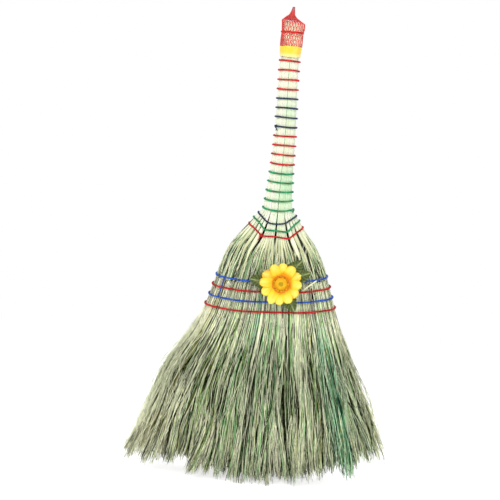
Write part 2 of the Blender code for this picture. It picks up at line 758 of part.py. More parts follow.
def make_net_tie():
    """A string tied round the net, between the tape and the net's shoulders."""
    loop = GRIP_TOP_RADIUS + NET_TIE_ROOM + NET_STRAND + SEAT_GAP + NET_TIE_RADIUS
    height = TAPE_TOP + NET_TIE_RISE
    knot_radius = 2 * NET_TIE_RADIUS
    tail = (knot_radius + NET_TIE_RADIUS + TAIL_GAP) / loop
    route = []
    for turn in np.linspace(0, math.tau - tail, HANDLE_LOOP_POINT_COUNT + 2):
        angle = math.pi / 2 + turn
        route.append(np.array([loop * math.cos(angle), loop * math.sin(angle), height]))
    gap = float(np.linalg.norm(route[-1] - route[0])) - NET_TIE_RADIUS - knot_radius
    print(f"net_tie: least gap to itself {gap * 1000:.2f} mm")
    assert gap > SAFE_SELF_GAP
    obj = add_object("net_tie", poly_tube("net_tie", route, NET_TIE_RADIUS, 1), "net_red", math.radians(50))
    union(obj, knot_mesh("net_tie_knot", route[0] + np.array([0, NET_TIE_RADIUS, 0]), knot_radius))


# Flower


def groove_point(height, proud):
    """A place in the groove between two tufts, this far in front of its bottom."""
    bottom = -math.sqrt(1 - FLOWER_ACROSS**2) * (1 - LOBE_SHARE)
    point = straw_point(FLOWER_ACROSS, bottom, height)
    point[1] -= proud
    return point


def flower_base():
    """Middle of the calyx's back: in front of the top row's twine by the stem's width and its clearances."""
    front = straw_point(FLOWER_ACROSS, -math.sqrt(1 - FLOWER_ACROSS**2), TOP_ROW)
    twine = 2 * TWINE_RADIUS + 3 * SEAT_GAP
    front[1] -= twine + 2 * STEM_RADIUS + STEM_BEND
    return front


def flower_place():
    """Where the flower's own axis, which is Z when it is made, points forwards and a little upwards."""
    turn = Matrix.Rotation(math.radians(90) + FLOWER_TILT, 4, "X")
    return Matrix.Translation(Vector(flower_base())) @ turn


def place_on_flower(obj):
    obj.matrix_local = flower_place()
    return obj


def make_stem():
    """Wire from the flower's middle, over the top row's twine and down the groove under two rows."""
    base = flower_base()
    forwards = np.array(flower_place().to_3x3() @ Vector((0, 0, 1)))
    top = TOP_ROW + STEM_RISE
    lobe = float(half_width(top)) * BUNDLE_EDGE_SHARE / TUFT_COUNT
    groove_half_angle = math.atan2(lobe / LOBE_COLUMN_COUNT, float(half_depth(top)) * LOBE_SHARE)
    in_groove = (STEM_RADIUS + SEAT_GAP) / math.sin(groove_half_angle)
    front_y = base[1] + STEM_BEND
    heights = np.linspace(top - STEM_BEND, top - STEM_BEND - STEM_FOOT_LENGTH, 6)
    groove = [groove_point(height, in_groove) for height in heights]
    turn_y = (front_y + groove[0][1]) / 2
    reach = CALYX_HEIGHT + PETAL_LAYER_GAP + 2 * SHEET_THICKNESS + CORONA_WALL + 2 * SEAT_GAP
    route = [
        base + forwards * reach,
        base,
        np.array([base[0], base[1] + STEM_BEND * 0.6, base[2] + STEM_BEND * 0.4]),
        np.array([base[0], front_y, base[2] + STEM_BEND]),
        np.array([base[0], front_y, groove[0][2]]),
        np.array([base[0], (front_y + turn_y) / 2, top]),
        np.array([groove[0][0], (groove[0][1] + turn_y) / 2, top]),
        *groove,
    ]
    add_object("flower_stem", poly_tube("flower_stem", route, STEM_RADIUS, 1), "wire_green", math.radians(50))


def sheet(name, rows, columns, centre_of, closed):
    """A sheet of SHEET_THICKNESS in front of the surface that centre_of gives for row and column shares."""
    back, front = [], []
    for row in range(rows):
        for column in range(columns):
            x, y, z = centre_of(row / (rows - 1), column / (columns if closed else columns - 1))
            back.append((x, y, z))
            front.append((x, y, z + SHEET_THICKNESS))
    count = rows * columns
    faces = grid_faces(rows, columns, closed)
    faces += [tuple(i + count for i in face[::-1]) for face in faces]
    edges = [[row * columns + column for column in range(columns)] for row in (0, rows - 1)]
    if not closed:
        edges += [[row * columns + column for row in range(rows)] for column in (0, columns - 1)]
    for edge in edges:
        ends = edge + edge[:1] if closed else edge
        for a, b in zip(ends, ends[1:]):
            faces.append((a, b, b + count, a + count))
    return mesh_from(name, back + front, faces)


def make_petals(name, radius, level, turn, slot):
    """Six rounded petals cut from one piece of cloth, cupped forwards, with a bore for the stem."""
    columns = 6 * PETAL_COUNT
    bore = STEM_RADIUS + STEM_CLEARANCE

    def surface(outwards, round_share):
        angle = math.tau * round_share
        from_middle = abs((round_share * PETAL_COUNT % 1) * 2 - 1)
        edge = radius * (1 - (1 - PETAL_NOTCH_SHARE) * (1 - from_middle) ** 2)
        r = bore + (edge - bore) * outwards
        rise = PETAL_CUP * (r / OUTER_PETAL_RADIUS) ** 2
        return r * math.cos(angle + turn), r * math.sin(angle + turn), level + rise

    place_on_flower(add_object(name, sheet(name, 4, columns, surface, True), slot, math.radians(40)))


def make_leaf(label, degrees, low):
    """A fabric leaf on a narrow stalk that starts at the calyx's neck."""
    direction = math.radians(degrees)
    start = CALYX_NECK_RADIUS + SEAT_GAP

    def surface(along, side_share):
        r = start + (LEAF_REACH - start) * along
        blade = max(0, (along - LEAF_STALK_SHARE) / (1 - LEAF_STALK_SHARE))
        stalk = LEAF_STALK_WIDTH / 2
        half = stalk + (LEAF_HALF_WIDTH - stalk) * math.sin(math.pi * blade**0.8) ** 0.8
        if along == 1:
            half = stalk / 2
        side = (2 * side_share - 1) * half
        level = LEAF_LOW_LEVEL if low else LEAF_LEVEL
        rise = LEAF_ARCH * (math.sin(math.pi * along) - abs(side) / LEAF_HALF_WIDTH)
        x = r * math.cos(direction) - side * math.sin(direction)
        y = r * math.sin(direction) + side * math.cos(direction)
        return x, y, level + rise / 2

    name = f"leaf_{label}"
    place_on_flower(add_object(name, sheet(name, 10, 3, surface, False), "leaf_green", math.radians(40)))


def make_flower():
    bore = STEM_RADIUS + STEM_CLEARANCE
    make_stem()
    calyx = [
        (bore, CALYX_HEIGHT), (CALYX_RADIUS, CALYX_HEIGHT), (CALYX_RADIUS, CALYX_HEIGHT - CORONA_WALL),
        (CALYX_NECK_RADIUS, CALYX_NECK_HEIGHT), (CALYX_NECK_RADIUS, 0), (bore, 0), (bore, CALYX_HEIGHT),
    ]
    place_on_flower(turned("flower_calyx", calyx, 16, "leaf_green"))
    level = CALYX_HEIGHT + SEAT_GAP
    make_petals("petals_outer", OUTER_PETAL_RADIUS, level, math.radians(30), "petal_yellow")
    level += SHEET_THICKNESS + PETAL_LAYER_GAP
    make_petals("petals_inner", INNER_PETAL_RADIUS, level, 0, "petal_yellow")
    # The corona stands on the inner petals where they have risen by this much
    level += SHEET_THICKNESS + SEAT_GAP + PETAL_CUP * (CORONA_FOOT_RADIUS / OUTER_PETAL_RADIUS) ** 2
    rim = level + CORONA_HEIGHT
    floor = level + CORONA_WALL
    corona = [
        (CORONA_RADIUS, rim), (CORONA_FOOT_RADIUS, level), (bore, level), (bore, floor),
        (CORONA_FOOT_RADIUS - CORONA_WALL, floor), (CORONA_RADIUS - CORONA_WALL, rim), (CORONA_RADIUS, rim),
    ]
    place_on_flower(turned("flower_corona", corona, 24, "flower_orange"))
    foot = floor + SEAT_GAP
    top = foot + CENTRE_HEIGHT
    centre = [(0, top - DIMPLE_DEPTH), (DIMPLE_RADIUS / 2, top - DIMPLE_DEPTH), (DIMPLE_RADIUS, top)]
    for outwards, upwards in CENTRE_DOME_SHARES:
        centre.append((CENTRE_RADIUS * outwards, foot + CENTRE_HEIGHT * upwards))
    centre.append((0, foot))
    place_on_flower(turned("flower_centre", centre, 20, "flower_orange"))
    for label, degrees, low in LEAVES:
        make_leaf(label, degrees, low)


def stand_on_middle():
    """Moves the broom so that the origin lies under the middle of its box."""
    graph = bpy.context.evaluated_depsgraph_get()
    lows, highs = [], []
    for obj in parts.objects:
        if obj.type == "MESH":
            points = [obj.matrix_world @ vertex.co for vertex in obj.evaluated_get(graph).data.vertices]
            lows.append(np.min(points, axis=0))
            highs.append(np.max(points, axis=0))
    low, high = np.min(lows, axis=0), np.max(highs, axis=0)
    broom.location = (-(low[0] + high[0]) / 2, -(low[1] + high[1]) / 2, -low[2])
    print("box in mm:", np.round((high - low) * 1000, 1))


def main():
    chance = random.Random(7)
    make_bundles()
    make_tufts(chance)
    make_grip_windings()
    make_tied_rows()
    make_tape()
    make_net()
    make_net_tie()
    make_flower()
    bpy.context.view_layer.update()
    stand_on_middle()


clear_scene()
parts = new_collection("straw_broom")
cutters = new_collection("joining_shapes", hidden=True)
broom = bpy.data.objects.new("broom", None)
parts.objects.link(broom)
main()
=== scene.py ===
"""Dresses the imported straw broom: straw, bristles, twisted strings, net, tape and cloth flower."""

import math

import bpy
import numpy as np
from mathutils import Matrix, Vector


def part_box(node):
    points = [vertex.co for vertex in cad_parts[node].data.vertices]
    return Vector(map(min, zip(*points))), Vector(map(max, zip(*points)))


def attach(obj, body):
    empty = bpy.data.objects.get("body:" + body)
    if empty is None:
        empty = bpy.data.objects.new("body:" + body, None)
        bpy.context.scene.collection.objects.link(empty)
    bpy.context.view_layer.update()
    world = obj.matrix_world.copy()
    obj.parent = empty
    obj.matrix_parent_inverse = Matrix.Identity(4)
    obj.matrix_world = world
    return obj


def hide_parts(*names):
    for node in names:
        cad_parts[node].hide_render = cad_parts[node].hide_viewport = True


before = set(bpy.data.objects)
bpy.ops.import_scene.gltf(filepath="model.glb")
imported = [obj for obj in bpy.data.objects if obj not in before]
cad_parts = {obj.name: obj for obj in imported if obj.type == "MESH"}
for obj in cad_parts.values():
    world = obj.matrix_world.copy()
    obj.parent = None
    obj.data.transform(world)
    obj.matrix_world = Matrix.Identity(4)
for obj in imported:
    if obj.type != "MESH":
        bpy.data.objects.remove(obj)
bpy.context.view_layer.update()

# Heights and sizes of the broom, in metres, as its source names them

SKIRT_FREE_LENGTH = 0.2440
ROW_PITCH = 0.0142
SHOULDER_LENGTH = 0.0631
NECK_PITCH = 0.0091
NECK_TO_GRIP = 0.0184
RING_PITCH = 0.0128
TOP_RING_TO_TAPE = 0.0052
TAPE_WIDTH = 0.0143
TAPE_TO_GRIP_END = 0.0275
ROWS = [SKIRT_FREE_LENGTH + ROW_PITCH * row for row in range(4)]
LOWEST_ROW, TOP_ROW = ROWS[0], ROWS[-1]
NECK_ROWS = [TOP_ROW + SHOULDER_LENGTH + NECK_PITCH * row for row in range(3)]
GRIP_FOOT = NECK_ROWS[-1] + NECK_TO_GRIP
# Strings on the grip: name, loops, way round and where the first loop starts, in degrees
GRIP_STRINGS = (
    ("green", 5, -1, 100),
    ("red_lower", 4, 1, 30),
    ("blue", 4, 1, 120),
    ("red_upper", 4, -1, 30),
)
RING_COUNT = sum(string[1] for string in GRIP_STRINGS)
TAPE_BOTTOM = GRIP_FOOT + (RING_COUNT - 1) * RING_PITCH + TOP_RING_TO_TAPE
TAPE_TOP = TAPE_BOTTOM + TAPE_WIDTH
GRIP_END = TAPE_TOP + TAPE_TO_GRIP_END
NET_TIE_HEIGHT = TAPE_TOP + 0.0195
SEAT_GAP = 0.0003
TWINE_RADIUS = 0.0014
STEP_ANGLE = math.radians(60)
LOBE_SHARE = 0.10
GRIP_TOP_RADIUS = 0.0125

# Height, half width, half depth, lift, tilt, bow, flattening and corner of the straw's section there
STATIONS = np.array(
    (
        (0, 0.1835, 0.0460, 0.0300, 0.005, 0, 0.8, 0),
        (0.54 * LOWEST_ROW, 0.1400, 0.0330, 0.0200, 0.005, 0, 0.8, 0),
        (LOWEST_ROW, 0.0900, 0.0225, 0.0076, 0.005, 0.0048, 0.8, 0),
        (TOP_ROW, 0.0762, 0.0220, 0.0076, 0.005, 0.0034, 0.8, 0),
        (TOP_ROW + 0.58 * SHOULDER_LENGTH, 0.0590, 0.0225, 0.0115, 0, 0.0028, 0.8, 0.3),
        (NECK_ROWS[0], 0.0362, 0.0215, 0.0150, 0, 0.0028, 0, 1),
        (NECK_ROWS[1], 0.0308, 0.0210, 0.0150, 0, 0.0028, 0, 1),
        (NECK_ROWS[2], 0.0252, 0.0205, 0.0125, 0, 0.0028, 0, 0.2),
        (GRIP_FOOT, 0.0196, 0.0186, 0.0020, 0, 0.0028, 0, 0),
        (GRIP_FOOT + 0.42 * (TAPE_BOTTOM - GRIP_FOOT), 0.0143, 0.0143, 0, 0, 0.0034, 0, 0),
        (TAPE_BOTTOM, GRIP_TOP_RADIUS, GRIP_TOP_RADIUS, 0, 0, 0, 0, 0),
        (GRIP_END, GRIP_TOP_RADIUS, GRIP_TOP_RADIUS, 0, 0, 0, 0, 0),
    )
)
BUNDLE_EDGE = 0.5

# The tape stands on the grip's axis, so its box gives where the straw's own axes are in the frame
tape_low, tape_high = (np.array(corner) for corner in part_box("tape_band"))
SHIFT = (tape_low + tape_high) / 2
SHIFT[2] = tape_low[2] - TAPE_BOTTOM


def monotone_slopes(x, y):
    """Slopes for a cubic through (x, y) that never overshoots, by Fritsch and Carlson's rule."""
    steps = np.diff(x)
    rises = np.diff(y) / steps
    before, after = rises[:-1], rises[1:]
    same_way = before * after > 0
    weight_before, weight_after = 2 * steps[1:] + steps[:-1], steps[1:] + 2 * steps[:-1]
    below = np.where(same_way, weight_before * after + weight_after * before, 1)
    mean = same_way * (weight_before + weight_after) * before * after / below
    return np.concatenate([rises[:1], mean, rises[-1:]])


SLOPES = np.stack([monotone_slopes(STATIONS[:, 0], column) for column in STATIONS.T], axis=-1)


def section(height):
    """Half width, half depth, lift, tilt, bow, flattening and corner at a height, by cubics between the
    stations."""
    x = STATIONS[:, 0]
    height = np.clip(height, x[0], x[-1])
    i = np.clip(np.searchsorted(x, height) - 1, 0, len(x) - 2)
    span = x[i + 1] - x[i]
    t = (height - x[i]) / span
    low, high = (1 + 2 * t) * (1 - t) ** 2, t**2 * (3 - 2 * t)
    up, down = span * t * (1 - t) ** 2, span * t**2 * (t - 1)
    place = STATIONS.T[1:, i] * low + STATIONS.T[1:, i + 1] * high
    return place + SLOPES.T[1:, i] * up + SLOPES.T[1:, i + 1] * down


def rise_at(across, height):
    """How far the section stands above its height: tilt times across, and lift times across squared or,
    where it has corners, times the share of the way from the middle bundles' edge to the broom's edge."""
    _, _, lift, tilt, _, _, corner = section(height)
    cornered = np.maximum(np.abs(across) - BUNDLE_EDGE, 0) / (1 - BUNDLE_EDGE)
    return lift * (across**2 + corner * (cornered - across**2)) + tilt * across


def straw_point(across, deep, height):
    """Place of straw coordinates. The section at a height is an ellipse, (across, deep) runs over the unit
    disc, its edges are lifted, and it is thicker towards them."""
    across, deep, height = np.broadcast_arrays(across, deep, np.asarray(height, float))
    half_width, half_depth, _, _, bow, flattening, _ = section(height)
    y = half_depth * deep * (1 + flattening * across**2)
    return np.stack([bow + half_width * across, y, height + rise_at(across, height)], axis=-1)


def straw_at(across, deep, z):
    """Like straw_point, but for a wanted level z: the height is what is left after the rise."""
    across, deep, z = np.broadcast_arrays(across, deep, np.asarray(z, float))
    height = z
    for _ in range(4):
        height = z - rise_at(across, height)
    place = straw_point(across, deep, np.maximum(height, 0))
    place[..., 2] = z
    return place


def in_lobe(across):
    """Place within one of the twelve lobes of the width, from -1 to 1."""
    return 2 * np.mod((across + 1) * 6, 1) - 1


def rim(across):
    """How far the straw reaches in depth on the unit disc. Each twelfth of the width is a rounded lobe."""
    return np.sqrt(np.maximum(1 - across**2, 0)) * (1 - LOBE_SHARE * in_lobe(across) ** 4)


# Numbers, colours and vectors

UP, BACKWARDS = np.array([0.0, 0.0, 1.0]), np.array([0.0, 1.0, 0.0])
# Steps of a turn or of a width that never line up, so they spread evenly
GOLDEN_SHARE = 0.618
GOLDEN_ANGLE = 2.39996


def smooth(value, low, high):
    """0 below low, 1 above high and a smooth S between them."""
    t = np.clip((value - low) / (high - low), 0, 1)
    return t * t * (3 - 2 * t)


def bell(value, middle, spread):
    """1 at the middle and falling off on both sides, as exp(-((value - middle) / spread)^2)."""
    return np.exp(-(((value - middle) / spread) ** 2))


def hump(value, low, risen, falling, gone):
    """0 below low, 1 from risen to falling and 0 again from gone on."""
    return smooth(value, low, risen) * (1 - smooth(value, falling, gone))


def mixed(first, second, share):
    """first where share is 0 and second where it is 1."""
    return first + (second - first) * np.asarray(share)[..., None]


def blend(tint, *steps):
    """A tint with colours mixed in one after the other, given as (colour, share)."""
    for colour, share in steps:
        tint = mixed(tint, colour, share)
    return tint


def linear(*srgb):
    """Linear colour of one written as it shows on a screen."""
    value = np.array(srgb, float)
    return np.where(value <= 0.04045, value / 12.92, ((value + 0.055) / 1.055) ** 2.4)


def unit(vectors):
    """Vectors brought to length one."""
    return vectors / (np.linalg.norm(vectors, axis=-1, keepdims=True) + 1e-12)


def drawer(rng, *shape):
    """Draws random numbers of a shape between two values, or from 0 to 1."""
    return lambda low=0.0, high=1.0: rng.uniform(low, high, shape)


def around(count):
    """Even angles once round."""
    return np.linspace(0, 2 * math.pi, count, endpoint=False)


def polar(radius, angle, z, side=0.0):
    """Points at a radius in the direction of an angle round +Z, and to the side of that direction."""
    x = radius * np.cos(angle) - side * np.sin(angle)
    y = radius * np.sin(angle) + side * np.cos(angle)
    return np.stack(np.broadcast_arrays(x, y, z), axis=-1)


# Meshes


def link_object(name, data):
    """A new object in the scene."""
    obj = bpy.data.objects.new(name, data)
    bpy.context.scene.collection.objects.link(obj)
    return obj


class Heap:
    """Surfaces gathered into one mesh, with a tint at every point. Each piece of the scene is one."""

    def __init__(self):
        self.points, self.tints, self.faces, self.count = [], [], [], 0

    def add(self, points, faces, tint):
        self.points.append(np.reshape(points, (-1, 3)))
        self.tints.append(np.broadcast_to(tint, np.shape(points)).reshape(-1, 3))
        self.faces += [np.asarray(group) + self.count for group in faces]
        self.count += len(self.points[-1])

    def piece(self, name, node, slot, material):
        """The mesh as one piece that stands for the CAD node, with the given material; the slot is not used.
        """
        points, tints = np.concatenate(self.points) + SHIFT, np.concatenate(self.tints)
        loops = np.concatenate([group.ravel() for group in self.faces])
        sizes = np.concatenate([np.full(len(group), group.shape[1]) for group in self.faces])
        starts = np.cumsum(sizes) - sizes
        mesh = bpy.data.meshes.new(name)
        mesh.vertices.add(len(points))
        mesh.vertices.foreach_set("co", points.astype(np.float32).ravel())
        mesh.loops.add(len(loops))
        mesh.loops.foreach_set("vertex_index", loops.astype(np.int32))
        mesh.polygons.add(len(sizes))
        mesh.polygons.foreach_set("loop_start", starts.astype(np.int32))
        mesh.polygons.foreach_set("use_smooth", np.ones(len(sizes), bool))
        mesh.update(calc_edges=True)
        mesh.validate()
        colour = mesh.attributes.new("tint", "FLOAT_COLOR", "POINT").data
        colour.foreach_set("color", np.insert(tints, 3, 1, axis=1).astype(np.float32).ravel())
        mesh.materials.append(material)
        obj = link_object(name, mesh)
        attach(obj, "root")
        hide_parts(node)


def grid_quads(rows, columns, closed=False, ring=False):
    """Quads of a grid stored row by row, closed round its columns and, as a ring, round its rows too. They
    face along (next column) x (next row)."""
    row, column = np.meshgrid(np.arange(rows - (not ring)), np.arange(columns - (not closed)), indexing="ij")
    up, after = (row + 1) % rows, (column + 1) % columns
    corners = [row * columns + column, row * columns + after, up * columns + after, up * columns + column]
    return np.stack(corners, axis=-1).reshape(-1, 4)


def add_tubes(heap, paths, radii, tints, sides=3, guide=BACKWARDS, flat=1.0):
    """Adds tubes along n paths of m points. A ring's corner k is path + radius (cos a N + flat sin a B) with
    a = 2 pi k / sides, where N and B are square to the path and B lies towards the guide. Both ends are
    closed, and each path point has one tint."""
    n, m = paths.shape[:2]
    ahead = unit(np.gradient(paths, axis=1))
    side = unit(np.cross(guide, ahead))
    up = np.cross(ahead, side)
    angle = around(sides)[:, None]
    corner = np.cos(angle) * side[:, :, None] + flat * np.sin(angle) * up[:, :, None]
    points = paths[:, :, None] + np.broadcast_to(radii, (n, m))[:, :, None, None] * corner
    start = (np.arange(n) * m * sides)[:, None, None]
    quads = (start + grid_quads(m, sides, closed=True)).reshape(-1, 4)
    ring = np.arange(sides)
    ends = [start[:, 0] + ring[::-1], start[:, 0] + (m - 1) * sides + ring]
    heap.add(points, [quads, *ends], np.asarray(tints)[..., None, :])


def add_shell(heap, points, tint):
    """Adds a tube-like skin whose rows run round it, with both ends closed by flat caps."""
    rows, columns = points.shape[:2]
    ring = np.arange(columns)
    faces = [grid_quads(rows, columns, closed=True), ring[None, ::-1], (rows - 1) * columns + ring[None]]
    heap.add(points, faces, tint)


def add_sheet(heap, points, thickness, tint):
    """Adds a sheet with a wall: the grid moved half the thickness to each side, and joined at its border."""
    rows, columns = points.shape[:2]
    normal = unit(np.cross(np.gradient(points, axis=1), np.gradient(points, axis=0)))
    both = np.stack([points - normal * thickness / 2, points + normal * thickness / 2])
    count = rows * columns
    quads = grid_quads(rows, columns)
    index = np.arange(count).reshape(rows, columns)
    border = np.concatenate([index[0, :-1], index[:-1, -1], index[-1, :0:-1], index[:0:-1, 0]])
    after = np.roll(border, -1)
    wall = np.stack([border, after, after + count, border + count], axis=1)
    heap.add(both, [quads + count, quads[:, ::-1], wall], tint)


# Materials


def add_node(tree, kind, inputs=None, **settings):
    """A new node with its settings. An input is a value or another node's socket."""
    node = tree.nodes.new(kind)
    for key, value in settings.items():
        setattr(node, key, value)
    for key, value in (inputs or {}).items():
        if isinstance(value, bpy.types.NodeSocket):
            tree.links.new(value, node.inputs[key])
        else:
            node.inputs[key].default_value = value
    return node


def math_node(tree, operation, first, second=0.0):
    return add_node(tree, "ShaderNodeMath", {0: first, 1: second}, operation=operation).outputs[0]


def noise_node(tree, place, scale, detail):
    inputs = {"Vector": place, "Scale": scale, "Detail": detail}
    return add_node(tree, "ShaderNodeTexNoise", inputs).outputs["Fac"]


def range_node(tree, value, low, high, to_low=0.0, to_high=1.0):
    inputs = {"Value": value, "From Min": low, "From Max": high, "To Min": to_low, "To Max": to_high}
    return add_node(tree, "ShaderNodeMapRange", inputs).outputs[0]


def scaled_node(tree, vector, scale):
    return add_node(tree, "ShaderNodeVectorMath", {0: vector, "Scale": scale}, operation="SCALE").outputs[0]


def stretched_place(tree, scale):
    """Object coordinates multiplied by a scale for each axis."""
    place = add_node(tree, "ShaderNodeTexCoord").outputs["Object"]
    return add_node(tree, "ShaderNodeMapping", {"Vector": place, "Scale": scale}).outputs[0]


def seen_node(tree):
    """1 for rays that show a surface as it is: straight from the camera, or by way of gloss or glass."""
    path = add_node(tree, "ShaderNodeLightPath").outputs
    seen = math_node(tree, "MAXIMUM", path["Is Camera Ray"], path["Is Glossy Ray"])
    return math_node(tree, "MAXIMUM", seen, path["Is Transmission Ray"])


def new_group(name, inputs):
    """A node group that takes a colour and the named inputs, given as (name, kind, value), and gives a colour
    and a height."""
    tree = bpy.data.node_groups.new(name, "ShaderNodeTree")
    for label, kind, value in (("Colour", "Color", (1, 1, 1, 1)), *inputs):
        socket = tree.interface.new_socket(label, in_out="INPUT", socket_type=f"NodeSocket{kind}")
        socket.default_value = value
    for label, kind in (("Colour", "Color"), ("Height", "Float")):
        tree.interface.new_socket(label, in_out="OUTPUT", socket_type=f"NodeSocket{kind}")
    return tree, add_node(tree, "NodeGroupInput").outputs, add_node(tree, "NodeGroupOutput").inputs


def make_grain_group():
    """Grain: fine noise, stretched along the broom, that darkens a colour and gives a bump height."""
    inputs = (("Amount", "Float", 0.3), ("Scale", "Float", 900.0), ("Stretch", "Float", 0.06))
    tree, given, out = new_group("straw_grain", inputs)
    along = add_node(tree, "ShaderNodeCombineXYZ", {0: 1.0, 1: 1.0, 2: given["Stretch"]}).outputs[0]
    place = stretched_place(tree, along)
    fine = noise_node(tree, place, given["Scale"], 3.0)
    patches = math_node(tree, "MULTIPLY", noise_node(tree, place, 150.0, 2.0), 0.5)
    centred = math_node(tree, "SUBTRACT", math_node(tree, "ADD", fine, patches), 0.75)
    shade = math_node(tree, "ADD", math_node(tree, "MULTIPLY", centred, given["Amount"]), 1.0)
    tree.links.new(scaled_node(tree, given["Colour"], shade), out["Colour"])
    tree.links.new(fine, out["Height"])
    return tree


def make_fuzz_group():
    """Fuzz: short irregular flecks on yarn and cloth, as a change of colour and a bump height."""
    inputs = (("Deep", "Color", (0, 0, 0, 1)), ("Amount", "Float", 0.5), ("Scale", "Float", 1500.0))
    tree, given, out = new_group("yarn_fuzz", inputs)
    place = stretched_place(tree, (1, 1, 1))
    fleck = noise_node(tree, place, given["Scale"], 4.0)
    wide = range_node(tree, noise_node(tree, place, 130.0, 3.0), 0.4, 0.68)
    both = math_node(tree, "MAXIMUM", range_node(tree, fleck, 0.38, 0.66), wide)
    mask = math_node(tree, "MULTIPLY", both, given["Amount"])
    mix = add_node(tree, "ShaderNodeMix", {0: mask, 6: given["Colour"], 7: given["Deep"]}, data_type="RGBA")
    tree.links.new(mix.outputs[2], out["Colour"])
    tree.links.new(fleck, out["Height"])
    return tree


GRAIN, FUZZ = make_grain_group(), make_fuzz_group()


def new_material(name, roughness, **sockets):
    """A Principled BSDF with its constants set on its own sockets."""
    made = bpy.data.materials.new(name)
    made.use_nodes = True
    shader = made.node_tree.nodes["Principled BSDF"]
    shader.inputs["Roughness"].default_value = roughness
    for label, value in sockets.items():
        shader.inputs[label.replace("_", " ")].default_value = value
    return made, made.node_tree, shader


def tint_node(tree):
    """The tint of the mesh's points."""
    return add_node(tree, "ShaderNodeAttribute", attribute_name="tint").outputs["Color"]


def cover(tree, shader, colour, height, distance, strength=0.6):
    """Gives a shader its base colour and a bump."""
    bump = add_node(tree, "ShaderNodeBump", {"Height": height, "Distance": distance, "Strength": strength})
    tree.links.new(colour, shader.inputs["Base Color"])
    tree.links.new(bump.outputs[0], shader.inputs["Normal"])


def cover_by_group(tree, shader, group, distance, inputs):
    out = add_node(tree, "ShaderNodeGroup", inputs, node_tree=group).outputs
    cover(tree, shader, out["Colour"], out["Height"], distance)


def straw_material(name, amount, scale, stretch, gloss):
    """Straw: its tint with fine lengthwise grain."""
    made, tree, shader = new_material(name, 0.55, Specular_IOR_Level=gloss)
    inputs = {"Colour": tint_node(tree), "Amount": amount, "Scale": scale, "Stretch": stretch}
    cover_by_group(tree, shader, GRAIN, 0.0003, inputs)
    return made


def yarn_material(name, amount, deep_share, roughness, scale=1500.0):
    """Yarn or cloth: its tint with flecks of a darker shade of it."""
    made, tree, shader = new_material(name, roughness, Specular_IOR_Level=0.3)
    tint = tint_node(tree)
    inputs = {"Colour": tint, "Deep": scaled_node(tree, tint, deep_share), "Amount": amount, "Scale": scale}
    cover_by_group(tree, shader, FUZZ, 0.0002, inputs)
    return made


STRAW = straw_material("straw_with_grain", 0.5, 900.0, 0.06, 0.3)
BRISTLE = straw_material("bristle_with_grain", 1.2, 500.0, 0.20, 0.02)
TWINE = yarn_material("twisted_twine", 0.55, 0.45, 0.55)
NET = yarn_material("net_thread", 0.4, 0.6, 0.5)
CLOTH = yarn_material("velvet_cloth", 0.40, 0.82, 0.75, 2600.0)
LEAF_CLOTH = yarn_material("leaf_cloth", 0.5, 0.55, 0.65, 900.0)

# Straw

CREAM = linear(0.93, 0.93, 0.77)
BLEACHED = linear(0.98, 0.98, 0.82)
PALE = linear(0.97, 0.97, 0.88)
WHITE_STRAW = linear(0.98, 0.98, 0.91)
IN_NET = linear(1.0, 1.0, 0.88)
MINT = linear(0.82, 0.94, 0.78)
SAGE = linear(0.61, 0.72, 0.49)
GREEN = linear(0.48, 0.69, 0.49)
OLIVE = linear(0.58, 0.62, 0.33)
BROWN = linear(0.66, 0.56, 0.34)
# Painted shade: the dark shell inside the skirt's tufts
PAINTED_SHADE_CORE = linear(0.20, 0.24, 0.08)
SHADE = linear(0.07, 0.10, 0.0)
TEAL = linear(0.42, 0.70, 0.59)
HAY = linear(0.98, 0.99, 0.90)


class Cell:
    """A piece of the section between two across values: its front half, back half or whole depth."""

    def __init__(self, name, left, right, side):
        self.name, self.left, self.right, self.side = name, left, right, side
        self.through = side == "through"
        self.middle = (left + right) / 2

    def edges(self, limit):
        """Its two across values, kept within a limit."""
        return max(self.left, -limit), min(self.right, limit)

    def depth(self, across):
        """Its front and its back on the unit disc."""
        edge = rim(across)
        return -edge * (self.side != "back"), edge * (self.side != "front")


BUNDLES = [
    Cell("left", -1, -BUNDLE_EDGE, "through"),
    Cell("front_left", -BUNDLE_EDGE, 0, "front"),
    Cell("front_right", 0, BUNDLE_EDGE, "front"),
    Cell("right", BUNDLE_EDGE, 1, "through"),
    Cell("back_right", 0, BUNDLE_EDGE, "back"),
    Cell("back_left", -BUNDLE_EDGE, 0, "back"),
]


def tufts_of(bundle):
    edges = np.linspace(bundle.left, bundle.right, 4)
    return [Cell(f"{bundle.name}_{i + 1}", edges[i], edges[i + 1], bundle.side) for i in range(3)]


END_SHARES = (0.36, 0.42, 0.46, 0.20, 0.24, 0.06, 0.04, 0.20, 0.38, 0.46, 0.52, 0.95)
END_RISE = 0.050


def end_level(across):
    """Level of the bristle ends, read between values for twelfths of the width."""
    place = (across + 1) / 2 * len(END_SHARES) - 0.5
    return END_RISE * np.interp(place, range(len(END_SHARES)), END_SHARES)


def add_core(heap, cell, heights, share, tints):
    """Adds the inside of a cell: its outline at each height, drawn in towards its middle."""
    across = np.linspace(*cell.edges(share), 19)
    front, back = (limit * share for limit in cell.depth(across))
    ring_across = np.concatenate([across, across[::-1]])
    ring_deep = np.concatenate([front, back[::-1]])
    points = straw_point(ring_across, ring_deep, np.array(heights)[::-1, None])
    add_shell(heap, points[:, ::-1], tints[::-1, None])


def waves(rng, count, steps, lengths, sizes):
    """Sideways waves of count fibres: sines of the share of the way down, with random phase and size."""
    each = drawer(rng, count, 1)
    total = 0
    for wave, size in zip(lengths, sizes):
        turns = each(0.7, 1.4) * wave
        total = total + rng.normal(0, size, (count, 1)) * np.sin(2 * math.pi * (turns * steps + each()))
    return total


